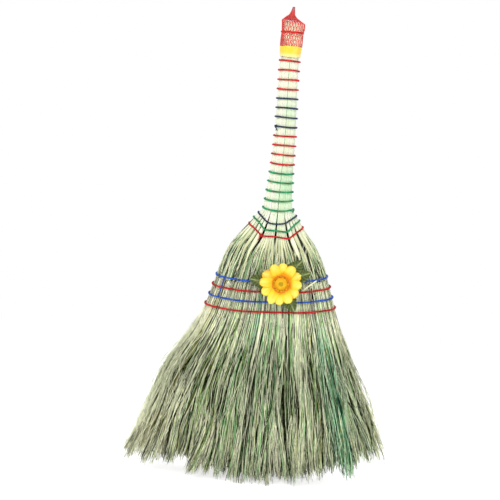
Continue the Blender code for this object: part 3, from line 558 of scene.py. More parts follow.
def strand_tints(rng, across):
    """One tint for each strand: some near white, bleached straw with painted highlight, some near black as
    painted shade, the others sage to green and olive, browner towards the left edge."""
    each = drawer(rng, *across.shape)
    greener = 0.30 * bell(across, 0.05, 0.35)
    tint = blend(
        SAGE,
        (GREEN, smooth(each() + greener, 0.2, 0.8)),
        (OLIVE, smooth(each() - greener, 0.45, 0.95)),
        (BROWN, 0.8 * smooth(-across, 0.45, 0.9) * each()),
        (BROWN, 0.6 * (each() < 0.08)),
    )
    # The pick paints some strands near white as lit bleached straw, and some near black as strands in shade
    pick = each()
    return blend(tint, (HAY, smooth(pick, 0.54, 0.66)), (SHADE, 0.98 * smooth(1 - pick, 0.60, 0.68)))


# Blue-green zones: across value, spread, and the shares of the way down where they start and end
TEAL_ZONES = ((-0.17, 0.03, -0.3, 0.42), (0.74, 0.10, 0.12, 1.2))
STRAND_FIBRES = 2
BRISTLE_RADIUS = 0.00036
# Bristles stand out of the oval section by this at most
PILE = 0.0030
# Tints of a higher mean lie in the light
LIT = 0.22
# Casts of the bristles at the rows, under them and at the ends, which keep the deepest tints olive
TIED_CAST, FREE_CAST, END_CAST = np.array(((1.0, 0.98, 0.90), (0.83, 0.85, 0.73), (0.96, 0.95, 0.84)))


def place_locks(rng, cell, left, right, locks):
    """Across and depth values of a tuft's locks, both spread evenly, and the levels of their ends."""
    each = drawer(rng, locks, 1)
    number = np.arange(locks)[:, None] + 0.5
    across = left + (right - left) * np.mod(number * GOLDEN_SHARE + each(-0.1, 0.1), 1)
    front, back = cell.depth(across)
    if cell.through:
        deep = front + (back - front) * (0.5 - 0.48 * np.cos(math.pi * number / locks))
    else:
        deep = (front + back) * (0.99 - 0.85 * (number / locks) ** 1.3)
    return across, deep, end_level(across) + each(-0.010, 0.012)


def add_skirt(heap, rng, cell, locks, strands):
    """Adds bristles in strands of two, and strands in locks. A strand starts at its own place in the tuft
    and is drawn towards the middle of its lock on the way down, so that each lock ends in a ragged point.
    Waves grow towards the ends, and each fibre is kinked at random within its strand."""
    steps = np.linspace(0, 1, 15)
    each = drawer(rng, strands, 1)
    left, right = cell.edges(0.995)
    lock_across, lock_deep, lock_end = place_locks(rng, cell, left, right, locks)
    lock_wave_x = waves(rng, locks, steps, (1.2, 2.3), (0.0035, 0.0015)) * steps
    lock_wave_y = waves(rng, locks, steps, (1.2,), (0.0025,)) * steps
    lock = rng.integers(0, locks, strands)
    lock_across, lock_deep = lock_across[lock], lock_deep[lock]
    off = each(-1, 1)
    across = lock_across + off * (right - left) / 2.6
    across = np.where(across > right, 2 * right - across, across)
    across = np.where(across < left, 2 * left - across, across)
    front, back = cell.depth(across)
    deep = lock_deep + each(-1, 1) * (0.42 if cell.through else 0.34)
    deep = np.clip(deep, front + 0.02, back - 0.02)
    # More bristles are loose at the broom's sides
    loose = each() < np.where(across < -0.8, 0.28, np.where(across > 0.85, 0.18, 0.09))
    clump = np.where(loose, -0.1, each(0.05, 0.50))
    hold = 1 - clump * smooth(steps, 0.12, 1)
    strand_across = lock_across + (across - lock_across) * hold + (lock_across - cell.middle) * 0.20 * steps
    strand_deep = lock_deep + (deep - lock_deep) * hold
    # Only loose bristles stand out at the broom's sides, on the left side halfway down and on the right below
    slim = 0.055 * smooth(-strand_across, 0.7, 1) * hump(steps, 0.15, 0.45, 0.8, 1)
    slim += 0.065 * smooth(strand_across, 0.7, 1) * smooth(steps, 0.15, 0.7)
    strand_across *= 1 - slim * ~loose
    stray = (across > 0.84) & (each() < 0.35)
    strand_across += 0.10 * stray * smooth(steps, 0.45, 1)
    end = lock_end[lock] + 0.010 * off**2 + rng.exponential(0.007, (strands, 1)) - 0.004
    # The front lies in the light, the inside in shade, and so do the gaps between the locks
    bright = smooth(np.abs(deep) / (rim(across) + 1e-6), 0.25, 0.8) * (1 - 0.5 * smooth(np.abs(off), 0.7, 1))
    tint = mixed(strand_tints(rng, across) * (0.42 + 0.58 * bright)[..., None], HAY, 0.8 * loose)
    # Fibres of the strands
    strand = np.repeat(np.arange(strands), STRAND_FIBRES)
    fibres = len(strand)
    each = drawer(rng, fibres, 1)
    end = np.maximum(end[strand] + rng.exponential(0.004, (fibres, 1)), 0.0006)
    start = TOP_ROW + 0.0022 + rise_at(across, TOP_ROW)[strand]
    z = start + (end - start) * steps
    wide, thick = np.clip(strand_across, -1.04, 1.04), np.clip(strand_deep, -1.02, 1.02)
    paths = straw_at(wide[strand], thick[strand], z)
    free = smooth(LOWEST_ROW - z, 0, 0.08)
    tied = 0.45 + 0.55 * free
    strand_x = np.where(loose, 2.2, 1.0) * waves(rng, strands, steps, (1.6, 3.4), (0.0018, 0.0009))
    strand_y = waves(rng, strands, steps, (2.0, 4.0), (0.0010, 0.0006))
    kinks = rng.normal(0, 0.00026, (2, fibres, len(steps)))
    kinks[0] += rng.normal(0, 0.00024, (fibres, 1))
    kinks[1] += rng.normal(0, 0.00030, (fibres, 1))
    paths[..., 0] += free * (lock_wave_x[lock] + strand_x)[strand] + tied * kinks[0]
    paths[..., 1] += free * ((lock_wave_y[lock] + strand_y)[strand] + kinks[1])
    within = np.clip(strand_across, -1, 1)[strand]
    half = straw_at(within, np.sqrt(1 - within**2), z)[..., 1] + PILE
    paths[..., 1] /= (1 + (np.abs(paths[..., 1]) / half) ** 8) ** (1 / 8)
    radius = BRISTLE_RADIUS * each(0.75, 1.3) * (1 - 0.4 * smooth(steps, 0.75, 1))
    radius = radius * np.where(loose[strand], 0.65, 1)
    tint = tint[strand] * rng.uniform(0.66, 1.30, (fibres, 1, 1))
    lit = tint.mean(axis=-1) > LIT
    # Strands come into the light and go under others on their way, and their ends are paler
    light = 1 + rng.normal(0, 0.18, (strands, len(steps)))[strand] + 0.80 * smooth(steps, 0.5, 1) * lit
    light += rng.normal(0, 0.12, (fibres, len(steps))) + (1 - free) * np.where(lit, 1.0, -0.45)
    tips = lit * (0.30 * smooth(steps, 0.7, 1) + 0.55 * smooth(steps, 0.3, 0))
    tints = mixed(tint * np.clip(light, 0.2, 2.1)[..., None], HAY, tips)
    for middle, spread, low, high in TEAL_ZONES:
        near = 0.72 * bell(across, middle, spread) * (rng.random((strands, 1)) < 0.75)
        along = hump(steps, low, low + 0.3, high - 0.2, high)
        tints = mixed(tints, TEAL * (0.32 + 1.5 * tints.mean(axis=-1, keepdims=True)), near[strand] * along)
    # The palest stretches keep their hue
    tints /= np.maximum(1, tints.max(axis=-1, keepdims=True))
    tints *= mixed(TIED_CAST, mixed(FREE_CAST, END_CAST, smooth(steps, 0.55, 1)), free)
    add_tubes(heap, paths, radius, tints)


def make_skirt():
    """Eighteen tufts, each its stitched slice's inside, a shell painted dark as shade, with the bristles
    round and under it.
    """
    rng = np.random.default_rng(11)
    for bundle in BUNDLES:
        for cell in tufts_of(bundle):
            heap = Heap()
            # Painted shade: a dark shell stands for the shadowed straw inside the tuft
            add_core(heap, cell, (LOWEST_ROW - 0.004, ROWS[1], ROWS[2], TOP_ROW), 0.80, PAINTED_SHADE_CORE[None])
            locks, strands = (13, 540) if cell.through else (9, 400)
            add_skirt(heap, rng, cell, locks, strands)
            heap.piece(f"bristles_{cell.name}", f"bristle_tuft_{cell.name}", "straw_bristle", BRISTLE)


def slit(cell, across, height):
    """An across value drawn towards its bundle's middle, so that dark slits open between the bundles, wide
    at the neck and narrow on the grip. The top row is at 0.287 m, and the neck from 0.350 to 0.368 m."""
    wide = hump(height, 0.330, NECK_ROWS[0], NECK_ROWS[1], GRIP_FOOT + 0.010)
    share = 0.06 * smooth(height, 0.300, 0.340) + 0.09 * wide
    if not cell.through:
        return cell.middle + (across - cell.middle) * (1 - share)
    # The side bundles only leave their inner edges
    side = np.sign(cell.middle)
    across = side + (across - side) * (1 - share / 2)
    # A narrower slit parts each side bundle
    off = (np.abs(across) - 0.77) / 0.08
    open_part = (0.014 if side < 0 else 0.035) * hump(height, 0.295, 0.325, 0.345, 0.360)
    return across + side * open_part * np.sign(off) * np.exp(-np.abs(off))


def add_fan(heap, rng, cell, strips):
    """Adds the straw between the neck and the stitched rows, as strips of two fibres with one tint. They
    start under the neck's rows at different heights, lie on the lobed outline in layers and end at the top
    row."""
    steps = np.linspace(0, 1, 9)
    each = drawer(rng, strips, 1)
    if cell.through:
        # Even spacing round the rounded side: the angle is uniform, so more fibres lie at the edge
        left, right = cell.left, cell.right
        across = np.cos(each(math.acos(right), math.acos(left)))
        sign = np.where(each() < 0.5, -1, 1)
    else:
        left, right = cell.edges(0.985)
        across = each(left, right)
        sign = -1 if cell.side == "front" else 1
    on_top = each() < 0.62
    layer = np.where(on_top, each(0.955, 0.985), each(0.84, 0.95))
    low = each() < 0.6
    from_low, from_neck = each(0.306, 0.336), each(NECK_ROWS[0] - 0.010, NECK_ROWS[-1])
    start = np.where(low, from_low, from_neck)
    deep = sign * (layer - 0.06 * ~low)
    start += rise_at(across, start)
    end = TOP_ROW - 0.004 + rise_at(across, TOP_ROW)
    z = start + (end - start) * steps
    drift = rng.normal(0, 0.012, (strips, 1)) * (steps - 0.6)
    strip_across = np.clip(slit(cell, across + drift, z), left, right)
    pick = each()
    # Painted shade: some strips are near black as the shade between the straws; others are pale bleached
    # straw
    whole = blend(
        PALE,
        (SAGE, smooth(each(), 0.0, 0.8)),
        (GREEN, 0.8 * smooth(each(), 0.55, 1)),
        (BROWN, 0.5 * smooth(each(), 0.8, 1)),
        (BLEACHED, 0.95 * smooth(pick, 0.60, 0.72)),
        (SHADE, 0.92 * smooth(1 - pick, 0.72, 0.78)),
    )
    strip = np.repeat(np.arange(strips), 2)
    each = drawer(rng, len(strip), 1)
    paths = straw_at(strip_across, deep * rim(strip_across), z)[strip]
    bend = waves(rng, strips, steps, (1.0, 2.2), (0.0007, 0.0004))[strip] * np.sin(math.pi * steps)
    side = np.tile([-0.5, 0.5], strips)[:, None] * each(0.0004, 0.0009)
    paths[..., 0] += bend + side * smooth(steps, -0.1, 0.4)
    radius = 0.00044 * each(0.7, 1.3) * smooth(steps, -0.05, 0.18)
    tint = whole[strip] * rng.uniform(0.86, 1.12, (len(strip), 1, 1))
    add_tubes(heap, paths, radius, np.clip(mixed(CREAM, tint, smooth(steps, -0.5, 0.15)), 0, 1))


# Green zones of the grip: middle height, spread and strength
GRIP_GREENS = ((0.415, 0.034, 0.95), (0.520, 0.018, 0.55))
# Half of a stalk's thickness square to the outline is about this at most
STALK_HALF = 0.0016


def add_stalks(heap, rng, cell, stalks):
    """Adds the grip's stalks. They stand side by side round the outline, as thick as their spacing, and
    run from inside the net over the neck, where they are wider and flatter, to a point in the shoulder."""
    each = drawer(rng, stalks, 1)
    if cell.through:
        # The cell's arc of the outline, from one edge over the side to the other edge
        middle = 0 if cell.right > 0 else math.pi
        low, high = middle - math.acos(BUNDLE_EDGE), middle + math.acos(BUNDLE_EDGE)
    elif cell.side == "front":
        low, high = -math.acos(cell.left), -math.acos(cell.right)
    else:
        low, high = math.acos(cell.right), math.acos(cell.left)
    spacing = (high - low) / stalks
    angle = low + spacing * (np.arange(stalks)[:, None] + 0.5)
    quarters = GRIP_FOOT + np.arange(RING_COUNT * 4 - 3) * RING_PITCH / 4
    above = (GRIP_END + 0.005, TAPE_TOP, TAPE_BOTTOM, *quarters[::-1])
    heights = np.array((*above, 0.375, *NECK_ROWS[::-1], 0.340, 0.326, 0.312, 0.300))
    drop = each(-0.012, 0.016) * (1 - smooth(heights, 0.300, 0.342))
    # The cut ends slope with the net's shoulders
    slope = -0.0025 * np.cos(angle) + each(-0.002, 0.001)
    height = heights + drop + slope * (heights > GRIP_END)
    across, deep = slit(cell, np.cos(angle), height), np.sin(angle)
    half_width, half_depth = section(height)[:2]
    # Half the distance to the next stalk along the outline
    arc = np.hypot(half_width * deep, half_depth * across) * spacing / 2
    radius = arc * each(0.92, 1.06) * (1 + 0.15 * (height >= TAPE_TOP))
    at_neck, at_shoulder = 1 - smooth(height, NECK_ROWS[2], GRIP_FOOT), 1 - smooth(height, 0.325, 0.350)
    radius = radius * (1 - 0.10 * at_neck - 0.14 * at_shoulder)
    flat = float(np.median(np.minimum(radius, STALK_HALF) / radius))
    radius = radius * np.maximum(smooth(height, 0.306, 0.340), 0.03)
    outward = unit(np.stack(np.broadcast_arrays(across / half_width, deep / half_depth, 0), axis=-1))
    inset = np.minimum(radius, STALK_HALF) + 0.0001 + 0.0004 * each()
    ring = (height - GRIP_FOOT) / RING_PITCH
    pillow = 0.0010 * ((ring > 0) & (ring < RING_COUNT - 1)) * np.sin(math.pi * ring) ** 2
    flare = 0.0013 * smooth(height, TAPE_BOTTOM, TAPE_TOP)
    paths = straw_point(across, deep, height) - outward * (inset - pillow - flare)[..., None]
    minty = smooth(each(), 0.5, 0.9)
    tint = blend(WHITE_STRAW, (MINT, 0.7 * minty), (CREAM, 0.6 * smooth(each(), 0.4, 1)))
    # Each stalk turns greener or yellower below the neck
    below = mixed(BLEACHED, OLIVE, 0.6 * each())
    tints = mixed(tint, below, 1 - smooth(height, 0.325, 0.37))
    # The grip has kept some green between the green and the blue rings, mostly at the right
    for middle, spread, amount in GRIP_GREENS:
        tints = mixed(tints, MINT, amount * bell(height, middle, spread) * smooth(across, -0.7, 0.6))
    tints = mixed(tints, IN_NET, smooth(height, TAPE_TOP - 0.004, TAPE_TOP))
    add_tubes(heap, paths, radius, tints, 8, outward, flat)


def make_bundles():
    """Six bundles: a dark inside painted as shade, fan fibres over the shoulders and pale stalks from the
    neck to the top.
    """
    rng = np.random.default_rng(5)
    on_grip = (0.375, GRIP_FOOT, 0.41, 0.45, 0.5, 0.56, TAPE_TOP, GRIP_END - 0.001)
    heights = np.array((TOP_ROW, 0.30, 0.32, 0.335, *NECK_ROWS, *on_grip))
    # Painted shade: the inside is near black under the neck and dark olive on the grip, and pale straw inside
    # the net
    inside = mixed(SHADE, OLIVE * 0.3, smooth(heights, NECK_ROWS[2], GRIP_FOOT + 0.01))
    inside = mixed(inside, IN_NET * 0.8, heights >= TAPE_TOP)
    for cell in BUNDLES:
        heap = Heap()
        add_core(heap, cell, heights, 0.86, inside)
        add_fan(heap, rng, cell, 320 if cell.through else 230)
        add_stalks(heap, rng, cell, 11 if cell.through else 6)
        if cell.name == "front_right":
            # A loose straw end beside the flower
            share = np.linspace(0, 1, 9)
            path = mixed(np.array([0.0470, -0.0262, 0.2795]), np.array([0.0648, -0.0307, 0.2960]), share)
            add_tubes(heap, path[None], 0.00115 - 0.0003 * share, BLEACHED, 6, flat=0.5)
        heap.piece(f"straw_{cell.name}", f"straw_bundle_{cell.name}", "straw_grip", STRAW)


# Strings

RED = linear(0.82, 0.15, 0.15)
NAVY = linear(0.20, 0.26, 0.36)
ROYAL = linear(0.22, 0.40, 0.80)
STRING_GREEN = linear(0.16, 0.64, 0.40)
GRIP_TINTS = {"green": STRING_GREEN, "red_lower": RED, "blue": NAVY, "red_upper": RED}
# Rows: name, tint, level and the angle of the knot in degrees
TIED_ROWS = (
    ("skirt_row_red_lower", RED, ROWS[0], 90),
    ("skirt_row_blue_lower", ROYAL, ROWS[1], 90),
    ("skirt_row_red_upper", RED, ROWS[2], 90),
    ("skirt_row_blue_upper", ROYAL, ROWS[3], 90),
    ("neck_row_red", RED, NECK_ROWS[0], -122),
    ("neck_row_green", STRING_GREEN, NECK_ROWS[1], 90),
    ("neck_row_blue", NAVY, NECK_ROWS[2], 95),
)


def string_piece(heap, name, node):
    """The mesh as a string piece, with a slot name made from the colour in its node's name, which piece does
    not use.
    """
    colour = next(word for word in node.split("_") if word in ("red", "blue", "green"))
    heap.piece(name, node, f"twine_{colour}", TWINE)


def outline_normal(angle, height):
    """Level outward normal of the straw's outline at an angle round it."""
    before, after = (straw_point(np.cos(near), np.sin(near), height) for near in (angle - 1e-3, angle + 1e-3))
    return unit(np.cross(after - before, UP))


def string_route(angle, height, dip=0.0):
    """Centre of a string that lies on the straw and dips where two lobes meet."""
    groove = in_lobe(np.cos(angle)) ** 6 * np.abs(np.sin(angle))
    off = TWINE_RADIUS + 0.0001 - dip * groove
    return straw_point(np.cos(angle), np.sin(angle), height) + outline_normal(angle, height) * off[..., None]


def evenly(route, step):
    """The route's points again at even distances along it."""
    reach = np.concatenate([[0], np.cumsum(np.linalg.norm(np.diff(route, axis=0), axis=1))])
    wanted = np.linspace(0, reach[-1], max(int(reach[-1] / step), 3))
    return np.stack([np.interp(wanted, reach, column) for column in route.T], axis=-1), wanted


def add_twisted(heap, rng, route, radius, pitch, tint, taper=0.0):
    """Adds yarn of two plies. Ply k runs round the route at two fifths of the radius: its angle is
    2 pi (length / pitch + k / 2), measured from the direction that looks up square to the route."""
    route, reach = evenly(route, pitch / 8)
    ahead = unit(np.gradient(route, axis=0))
    side = unit(np.cross(np.where(np.abs(ahead[:, 2:]) > 0.8, BACKWARDS, UP), ahead))
    up = np.cross(ahead, side)
    angle = 2 * math.pi * (reach / pitch + np.array([[0], [0.5]]))[..., None]
    paths = route + 0.4 * radius * (np.cos(angle) * side + np.sin(angle) * up)
    swell = 1 + 0.10 * np.sin(reach / 0.011 + rng.random() * 6)
    radii = 0.60 * radius * swell * (1 - taper * reach / reach[-1])
    # Brighter and darker stretches along the yarn: painted highlights of the twist, and wear
    sheen_and_wear = 0.20 * np.sin(reach / 0.0031 + 2 * np.sin(reach / 0.013))
    shade = 1 - 0.15 * rng.random((2, 1, 1)) + (0.08 * np.sin(reach / 0.017) + sheen_and_wear)[:, None]
    add_tubes(heap, paths, radii, tint * shade, 5, up)


def add_knot(heap, place, outward, size, radius, tint):
    """Adds a tied lump: a yarn that runs twice round a small ring and three times through it."""
    turn = np.linspace(0, 2 * math.pi, 60)[:, None]
    across = np.cos(2 * turn) * np.cross(outward, UP) + 0.8 * np.sin(2 * turn) * UP
    loop = (0.62 + 0.38 * np.cos(3 * turn)) * across + 0.45 * np.sin(3 * turn) * outward
    add_tubes(heap, (place + size * loop)[None], radius, tint * 0.9, 5, outward)


def add_tail(heap, rng, place, outward, drop, length, tint):
    """Adds a cut end: a short yarn that hangs from its knot and frays into five single threads."""
    steps = np.linspace(0, 1, 9)[:, None]
    path = place + drop * length * 0.55 * steps + outward * 0.0012 * np.sin(math.pi * steps)
    path -= 0.0015 * steps**2 * UP
    add_twisted(heap, rng, path, TWINE_RADIUS * 0.85, 0.003, tint, taper=0.2)
    spread = rng.normal(0, 1, (5, 1, 3)) * 0.0016
    fray = path[-1] + steps * drop * length * 0.45 + steps**1.3 * spread - 0.0012 * steps**2 * UP
    add_tubes(heap, fray, TWINE_RADIUS * 0.26 * (1 - 0.4 * steps[:, 0]), tint, 4, outward)


def add_tied_end(heap, rng, place, outward, knot, yarn, aside, down, length, tint):
    """Adds a knot of a size and yarn, and the cut end that hangs from it to the side and down."""
    add_knot(heap, place, outward, knot, TWINE_RADIUS * yarn, tint)
    add_tail(heap, rng, place, outward, aside * np.cross(outward, UP) - down * UP, length, tint)


def make_grip_strings():
    """Four strings in level rings. Each steps up to its next ring over STEP_ANGLE at the back."""
    rng = np.random.default_rng(21)
    ring = 0
    for label, count, direction, start in GRIP_STRINGS:
        heights = GRIP_FOOT + (ring + np.arange(count)) * RING_PITCH
        ring += count
        turn = np.linspace(math.radians(start), 2 * math.pi * count - STEP_ANGLE / 2, 72 * count)
        loop = np.clip(((turn + math.pi) // (2 * math.pi)).astype(int), 0, count - 1)
        ease = smooth((turn - 2 * math.pi * loop + STEP_ANGLE / 2) / STEP_ANGLE, 0, 1)
        below = heights[np.maximum(loop - 1, 0)]
        height = below + (heights[loop] - below) * ease
        height += 0.0004 * np.sin(turn * 1.3) * np.sin(turn * 0.5)
        angle = math.pi / 2 + direction * turn
        route = string_route(angle, height)
        heap, tint = Heap(), GRIP_TINTS[label]
        add_twisted(heap, rng, route, TWINE_RADIUS, 0.0046, tint)
        outward = outline_normal(angle[0], height[0])
        place = route[0] + outward * 0.0008
        add_tied_end(heap, rng, place, outward, 0.0019, 0.6, -0.75 * direction, 0.65, 0.004, tint)
        string_piece(heap, f"string_{label}", f"grip_string_{label}")


def drop_route():
    """The short stretch of blue thread that drops from the upper blue row over the red one to the lower."""
    share = np.linspace(0, 1, 24)
    across = -0.85 - 0.005 * share
    place = straw_point(across, -np.sqrt(1 - across**2), ROWS[3] + (ROWS[1] - ROWS[3]) * share)
    return place - (0.0018 + 0.0030 * np.sin(math.pi * share) ** 0.5)[:, None] * BACKWARDS


def make_tied_rows():
    """The strings tied round the skirt and the neck, twisted from two plies, that dip between the tufts."""
    rng = np.random.default_rng(33)
    for name, tint, height, degrees in TIED_ROWS:
        thick, pitch, dip = (1.1, 0.0062, 0.0014) if name.startswith("skirt") else (1, 0.0052, 0.0008)
        angle = math.radians(degrees) + np.linspace(0, 2 * math.pi, 500)
        level = height + 0.0005 * np.sin(3 * angle + height * 900) + 0.0003 * np.sin(7 * angle)
        route = string_route(angle, level, dip)
        route[-1] = route[0]
        heap = Heap()
        add_twisted(heap, rng, route, TWINE_RADIUS * thick, pitch, tint)
        outward = outline_normal(angle[0], height)
        add_tied_end(heap, rng, route[0] + outward * 0.0009, outward, 0.0021, 0.65, 0.6, 0.8, 0.006, tint)
        if name == "skirt_row_blue_upper":
            add_twisted(heap, rng, drop_route(), TWINE_RADIUS * 0.85, 0.005, tint * 0.6)
        string_piece(heap, f"tied_{name}", name)


# Tape and net

TAPE = linear(1.0, 0.85, 0.20)
PALE_TAPE = linear(1.0, 0.95, 0.62)
NET_RED = linear(1.0, 0.36, 0.34)
TIE_RED = linear(0.90, 0.14, 0.11)
TAIL_TIP = linear(0.72, 0.46, 0.50)


def make_tape():
    """Tape: a thin wound band. Its radius grows over the overlap at its free end, and has shallow creases."""
    made, tree, shader = new_material("glossy_tape", 0.28, Specular_IOR_Level=0.5, Coat_Weight=0.3)
    noise = noise_node(tree, stretched_place(tree, (1, 1, 0.4)), 160.0, 2.0)
    cover(tree, shader, tint_node(tree), noise, 0.0006, 0.35)
    angle = around(144)
    rise = np.linspace(0, 1, 14)[:, None]
    crease = 0.00018 * np.sin(9 * angle + 2) * np.sin(4 * angle)
    lap = 0.00035 * hump(angle, 1.9, 1.95, 4.3, 5.2)
    slack = 0.00025 * np.sin(3 * angle + 0.5) * np.cos(math.pi * rise)
    flare = 0.0013 * (rise - 0.5)
    outer = GRIP_TOP_RADIUS + 0.0015 + 2 * SEAT_GAP + crease + lap + slack + flare
    edge_level = 0.00035 * np.sin(2 * angle + 1) + 0.0002 * np.sin(7 * angle)
    z = TAPE_BOTTOM + TAPE_WIDTH * rise + edge_level * (1 - 2 * rise)
    wall = outer[[-1, 0]] - 0.0007
    points = polar(np.concatenate([outer, wall]), angle, np.concatenate([z, z[[-1, 0]]]))
    tints = mixed(PALE_TAPE, TAPE, smooth(np.concatenate([rise, [[1], [0]]]), 0.05, 0.45))
    heap = Heap()
    heap.add(points, [grid_quads(*points.shape[:2], closed=True, ring=True)], tints)
    heap.piece("yellow_tape", "tape_band", "tape_yellow", made)


# Height over the tape, radius and sideways place of the net's middle: it is pinched at its tie, bulges above
# it, is drawn together to one side over the straw's end and ends in a tail
NET_PROFILE = np.array((
    (-0.0060, 0.0132, 0), (-0.0010, 0.0137, 0), (0.0004, 0.0149, 0), (0.0100, 0.0149, 0),
    (0.0180, 0.0146, 0.0002), (0.0195, 0.0143, 0.0002), (0.0225, 0.0152, 0.0004), (0.0270, 0.0156, 0.0004),
    (0.0318, 0.0155, 0), (0.0350, 0.0128, -0.0030), (0.0390, 0.0076, -0.0038), (0.0430, 0.0035, -0.0027),
    (0.0479, 0.0022, -0.0017), (0.0535, 0.0012, -0.0012),
))
NET_BUNCH = 0.12
NET_COLUMNS = 24
NET_FOLDS = 9
MESH_RISE = 0.0058


def net_radius(z, angle):
    """Radius of the net, read from its profile, with shallow folds over the bulge."""
    rise = z - TAPE_TOP
    bulge = hump(rise, 0.0195, 0.0235, 0.030, 0.036)
    return np.interp(rise, *NET_PROFILE.T[:2]) + bulge * 0.0004 * np.sin(5 * angle + 1)


def net_place(z, angle, proud):
    """Points of the net at levels and angles, moved outwards."""
    middle = np.interp(z - TAPE_TOP, NET_PROFILE[:, 0], NET_PROFILE[:, 2])
    return polar(net_radius(z, angle) + proud, angle, z) + middle[..., None] * [1, 0, 0]


def make_net():
    """Net: two sets of threads that wind round in opposite ways and cross in diamonds, drawn together into a
    tail. Where they cross, one set lies over the other. Their ends lie under the tape."""
    rng = np.random.default_rng(2)
    each = drawer(rng, NET_COLUMNS, 1)
    low, high = TAPE_TOP - 0.0055, GRIP_END + 0.0260
    z = np.linspace(low, high, 90)
    # In the tail, the threads no longer turn but run up side by side
    turned = np.minimum(z, GRIP_END + 0.010) - low + 0.15 * np.maximum(z - GRIP_END - 0.010, 0)
    heap = Heap()
    gathered = smooth(z, GRIP_END + 0.008, GRIP_END + 0.013)
    tint = blend(NET_RED, (NET_RED * 0.82, gathered), (TAIL_TIP, smooth(z, GRIP_END + 0.018, high)))
    for way in (1, -1):
        wobble = 0.03 * np.sin(z * 900 + 6 * each())
        angle = around(NET_COLUMNS)[:, None] + way * math.pi / NET_COLUMNS * turned / MESH_RISE + wobble
        # The net bunches up at its left front
        angle -= NET_BUNCH * np.sin(angle + 2.6)
        over = 0.00022 * way * np.cos(2 * math.pi * turned / MESH_RISE)
        radius = 0.00038 * each(0.85, 1.2)
        shade = rng.uniform(0.8, 1.1, (NET_COLUMNS, 1, 1))
        add_tubes(heap, net_place(z, angle, over), radius, tint * shade, 4, polar(1, angle, 0))
    # A fold of the net runs down its left side and slants to the front over the tape
    rise = np.linspace(-0.005, 0.033, 40)
    number = np.arange(NET_FOLDS)[:, None]
    slant = 0.55 * (1 - smooth(rise, 0.0, 0.016)) * number / (NET_FOLDS - 1)
    angle = -3.0 + 0.045 * number + slant + 0.02 * rng.normal(0, 1, (NET_FOLDS, 40))
    shade = NET_RED * rng.uniform(0.6, 1.05, (NET_FOLDS, 1, 1))
    add_tubes(heap, net_place(TAPE_TOP + rise, angle, 0.0004), 0.00030, shade, 4, polar(1, angle, 0))
    # Painted shade: a skin inside the net's top and tail, half as bright as the net's red, stands for the
    # shaded threads behind its holes
    level = np.linspace(TAPE_TOP + 0.0362, GRIP_END + 0.0262, 12)[:, None]
    tail = smooth(level, GRIP_END + 0.016, GRIP_END + 0.026)
    add_shell(heap, net_place(level, around(48), -0.0003), mixed(NET_RED * 0.5, TAIL_TIP, tail))
    heap.piece("red_net", "net_cap", "net_red", NET)
    heap = Heap()
    share = np.linspace(0, 1, 160)
    angle = math.pi / 2 + (4 * math.pi - 0.1) * share
    radius = net_radius(NET_TIE_HEIGHT, angle) + 0.0010
    route = polar(radius, angle, NET_TIE_HEIGHT + 0.0009 * (2 * share - 1) + 0.0004 * np.sin(angle))
    add_twisted(heap, rng, route, 0.0009, 0.004, TIE_RED)
    add_knot(heap, route[0] + BACKWARDS * 0.001, BACKWARDS, 0.0017, 0.0006, TIE_RED)
    heap.piece("net_string", "net_tie", "net_red", NET)


# Flower

YELLOW = linear(1.0, 0.89, 0.20)
LEMON = linear(1.0, 0.97, 0.50)
DEEP_YELLOW = linear(1.0, 0.72, 0.05)
ORANGE = linear(1.0, 0.60, 0.10)
GOLD = linear(1.0, 0.80, 0.14)
FLORET = linear(1.0, 0.88, 0.22)
DIMPLE = linear(0.20, 0.28, 0.03)
RIM_ORANGE = linear(0.94, 0.50, 0.08)
LEAF = linear(0.40, 0.46, 0.22)
LEAF_DARK = linear(0.25, 0.31, 0.13)
LEAF_PALE = linear(0.62, 0.68, 0.45)
STEM_GREEN = linear(0.16, 0.34, 0.12)
CALYX_GREEN = linear(0.30, 0.42, 0.16)

STEM_BEND = 0.0020
STEM_RADIUS = 0.0008
FLOWER_ACROSS = 1 / 6
FLOWER_TILT = math.radians(-4)
CALYX_HEIGHT = 0.0060
CUP = 0.0050
PETAL_FOOT = 0.004
PETAL_REACH = 0.0305
CLOTH_THICKNESS = 0.0006
PETAL_LEVEL = CALYX_HEIGHT + SEAT_GAP + CLOTH_THICKNESS / 2
INNER_PETALS_UP = 0.0016
CORONA_WALL = 0.0007
CORONA_TURNS = 128
PETALS_TOP = CALYX_HEIGHT + SEAT_GAP + INNER_PETALS_UP + CLOTH_THICKNESS
CORONA_FOOT = PETALS_TOP + SEAT_GAP + CUP * (0.010 / PETAL_REACH) ** 2
CENTRE_RADIUS = 0.0088
CENTRE_FOOT = CORONA_FOOT + 0.0009 + SEAT_GAP
# Leaves: name, direction in degrees, and whether it lies under its neighbours
LEAVES = (("upper_right", 52, False), ("right", 25, True), ("left", 177, False), ("lower_right", -59, False))


def flower_points(local):
    """Points of the flower's own axes, whose Z points out of its face, in the broom's axes."""
    front = straw_point(FLOWER_ACROSS, -math.sqrt(1 - FLOWER_ACROSS**2), TOP_ROW)
    front[1] -= 2 * TWINE_RADIUS + 3 * SEAT_GAP + 2 * STEM_RADIUS + STEM_BEND
    turn = math.pi / 2 + FLOWER_TILT
    cos, sin = math.cos(turn), math.sin(turn)
    return local @ np.array(((1, 0, 0), (0, cos, sin), (0, -sin, cos))) + front


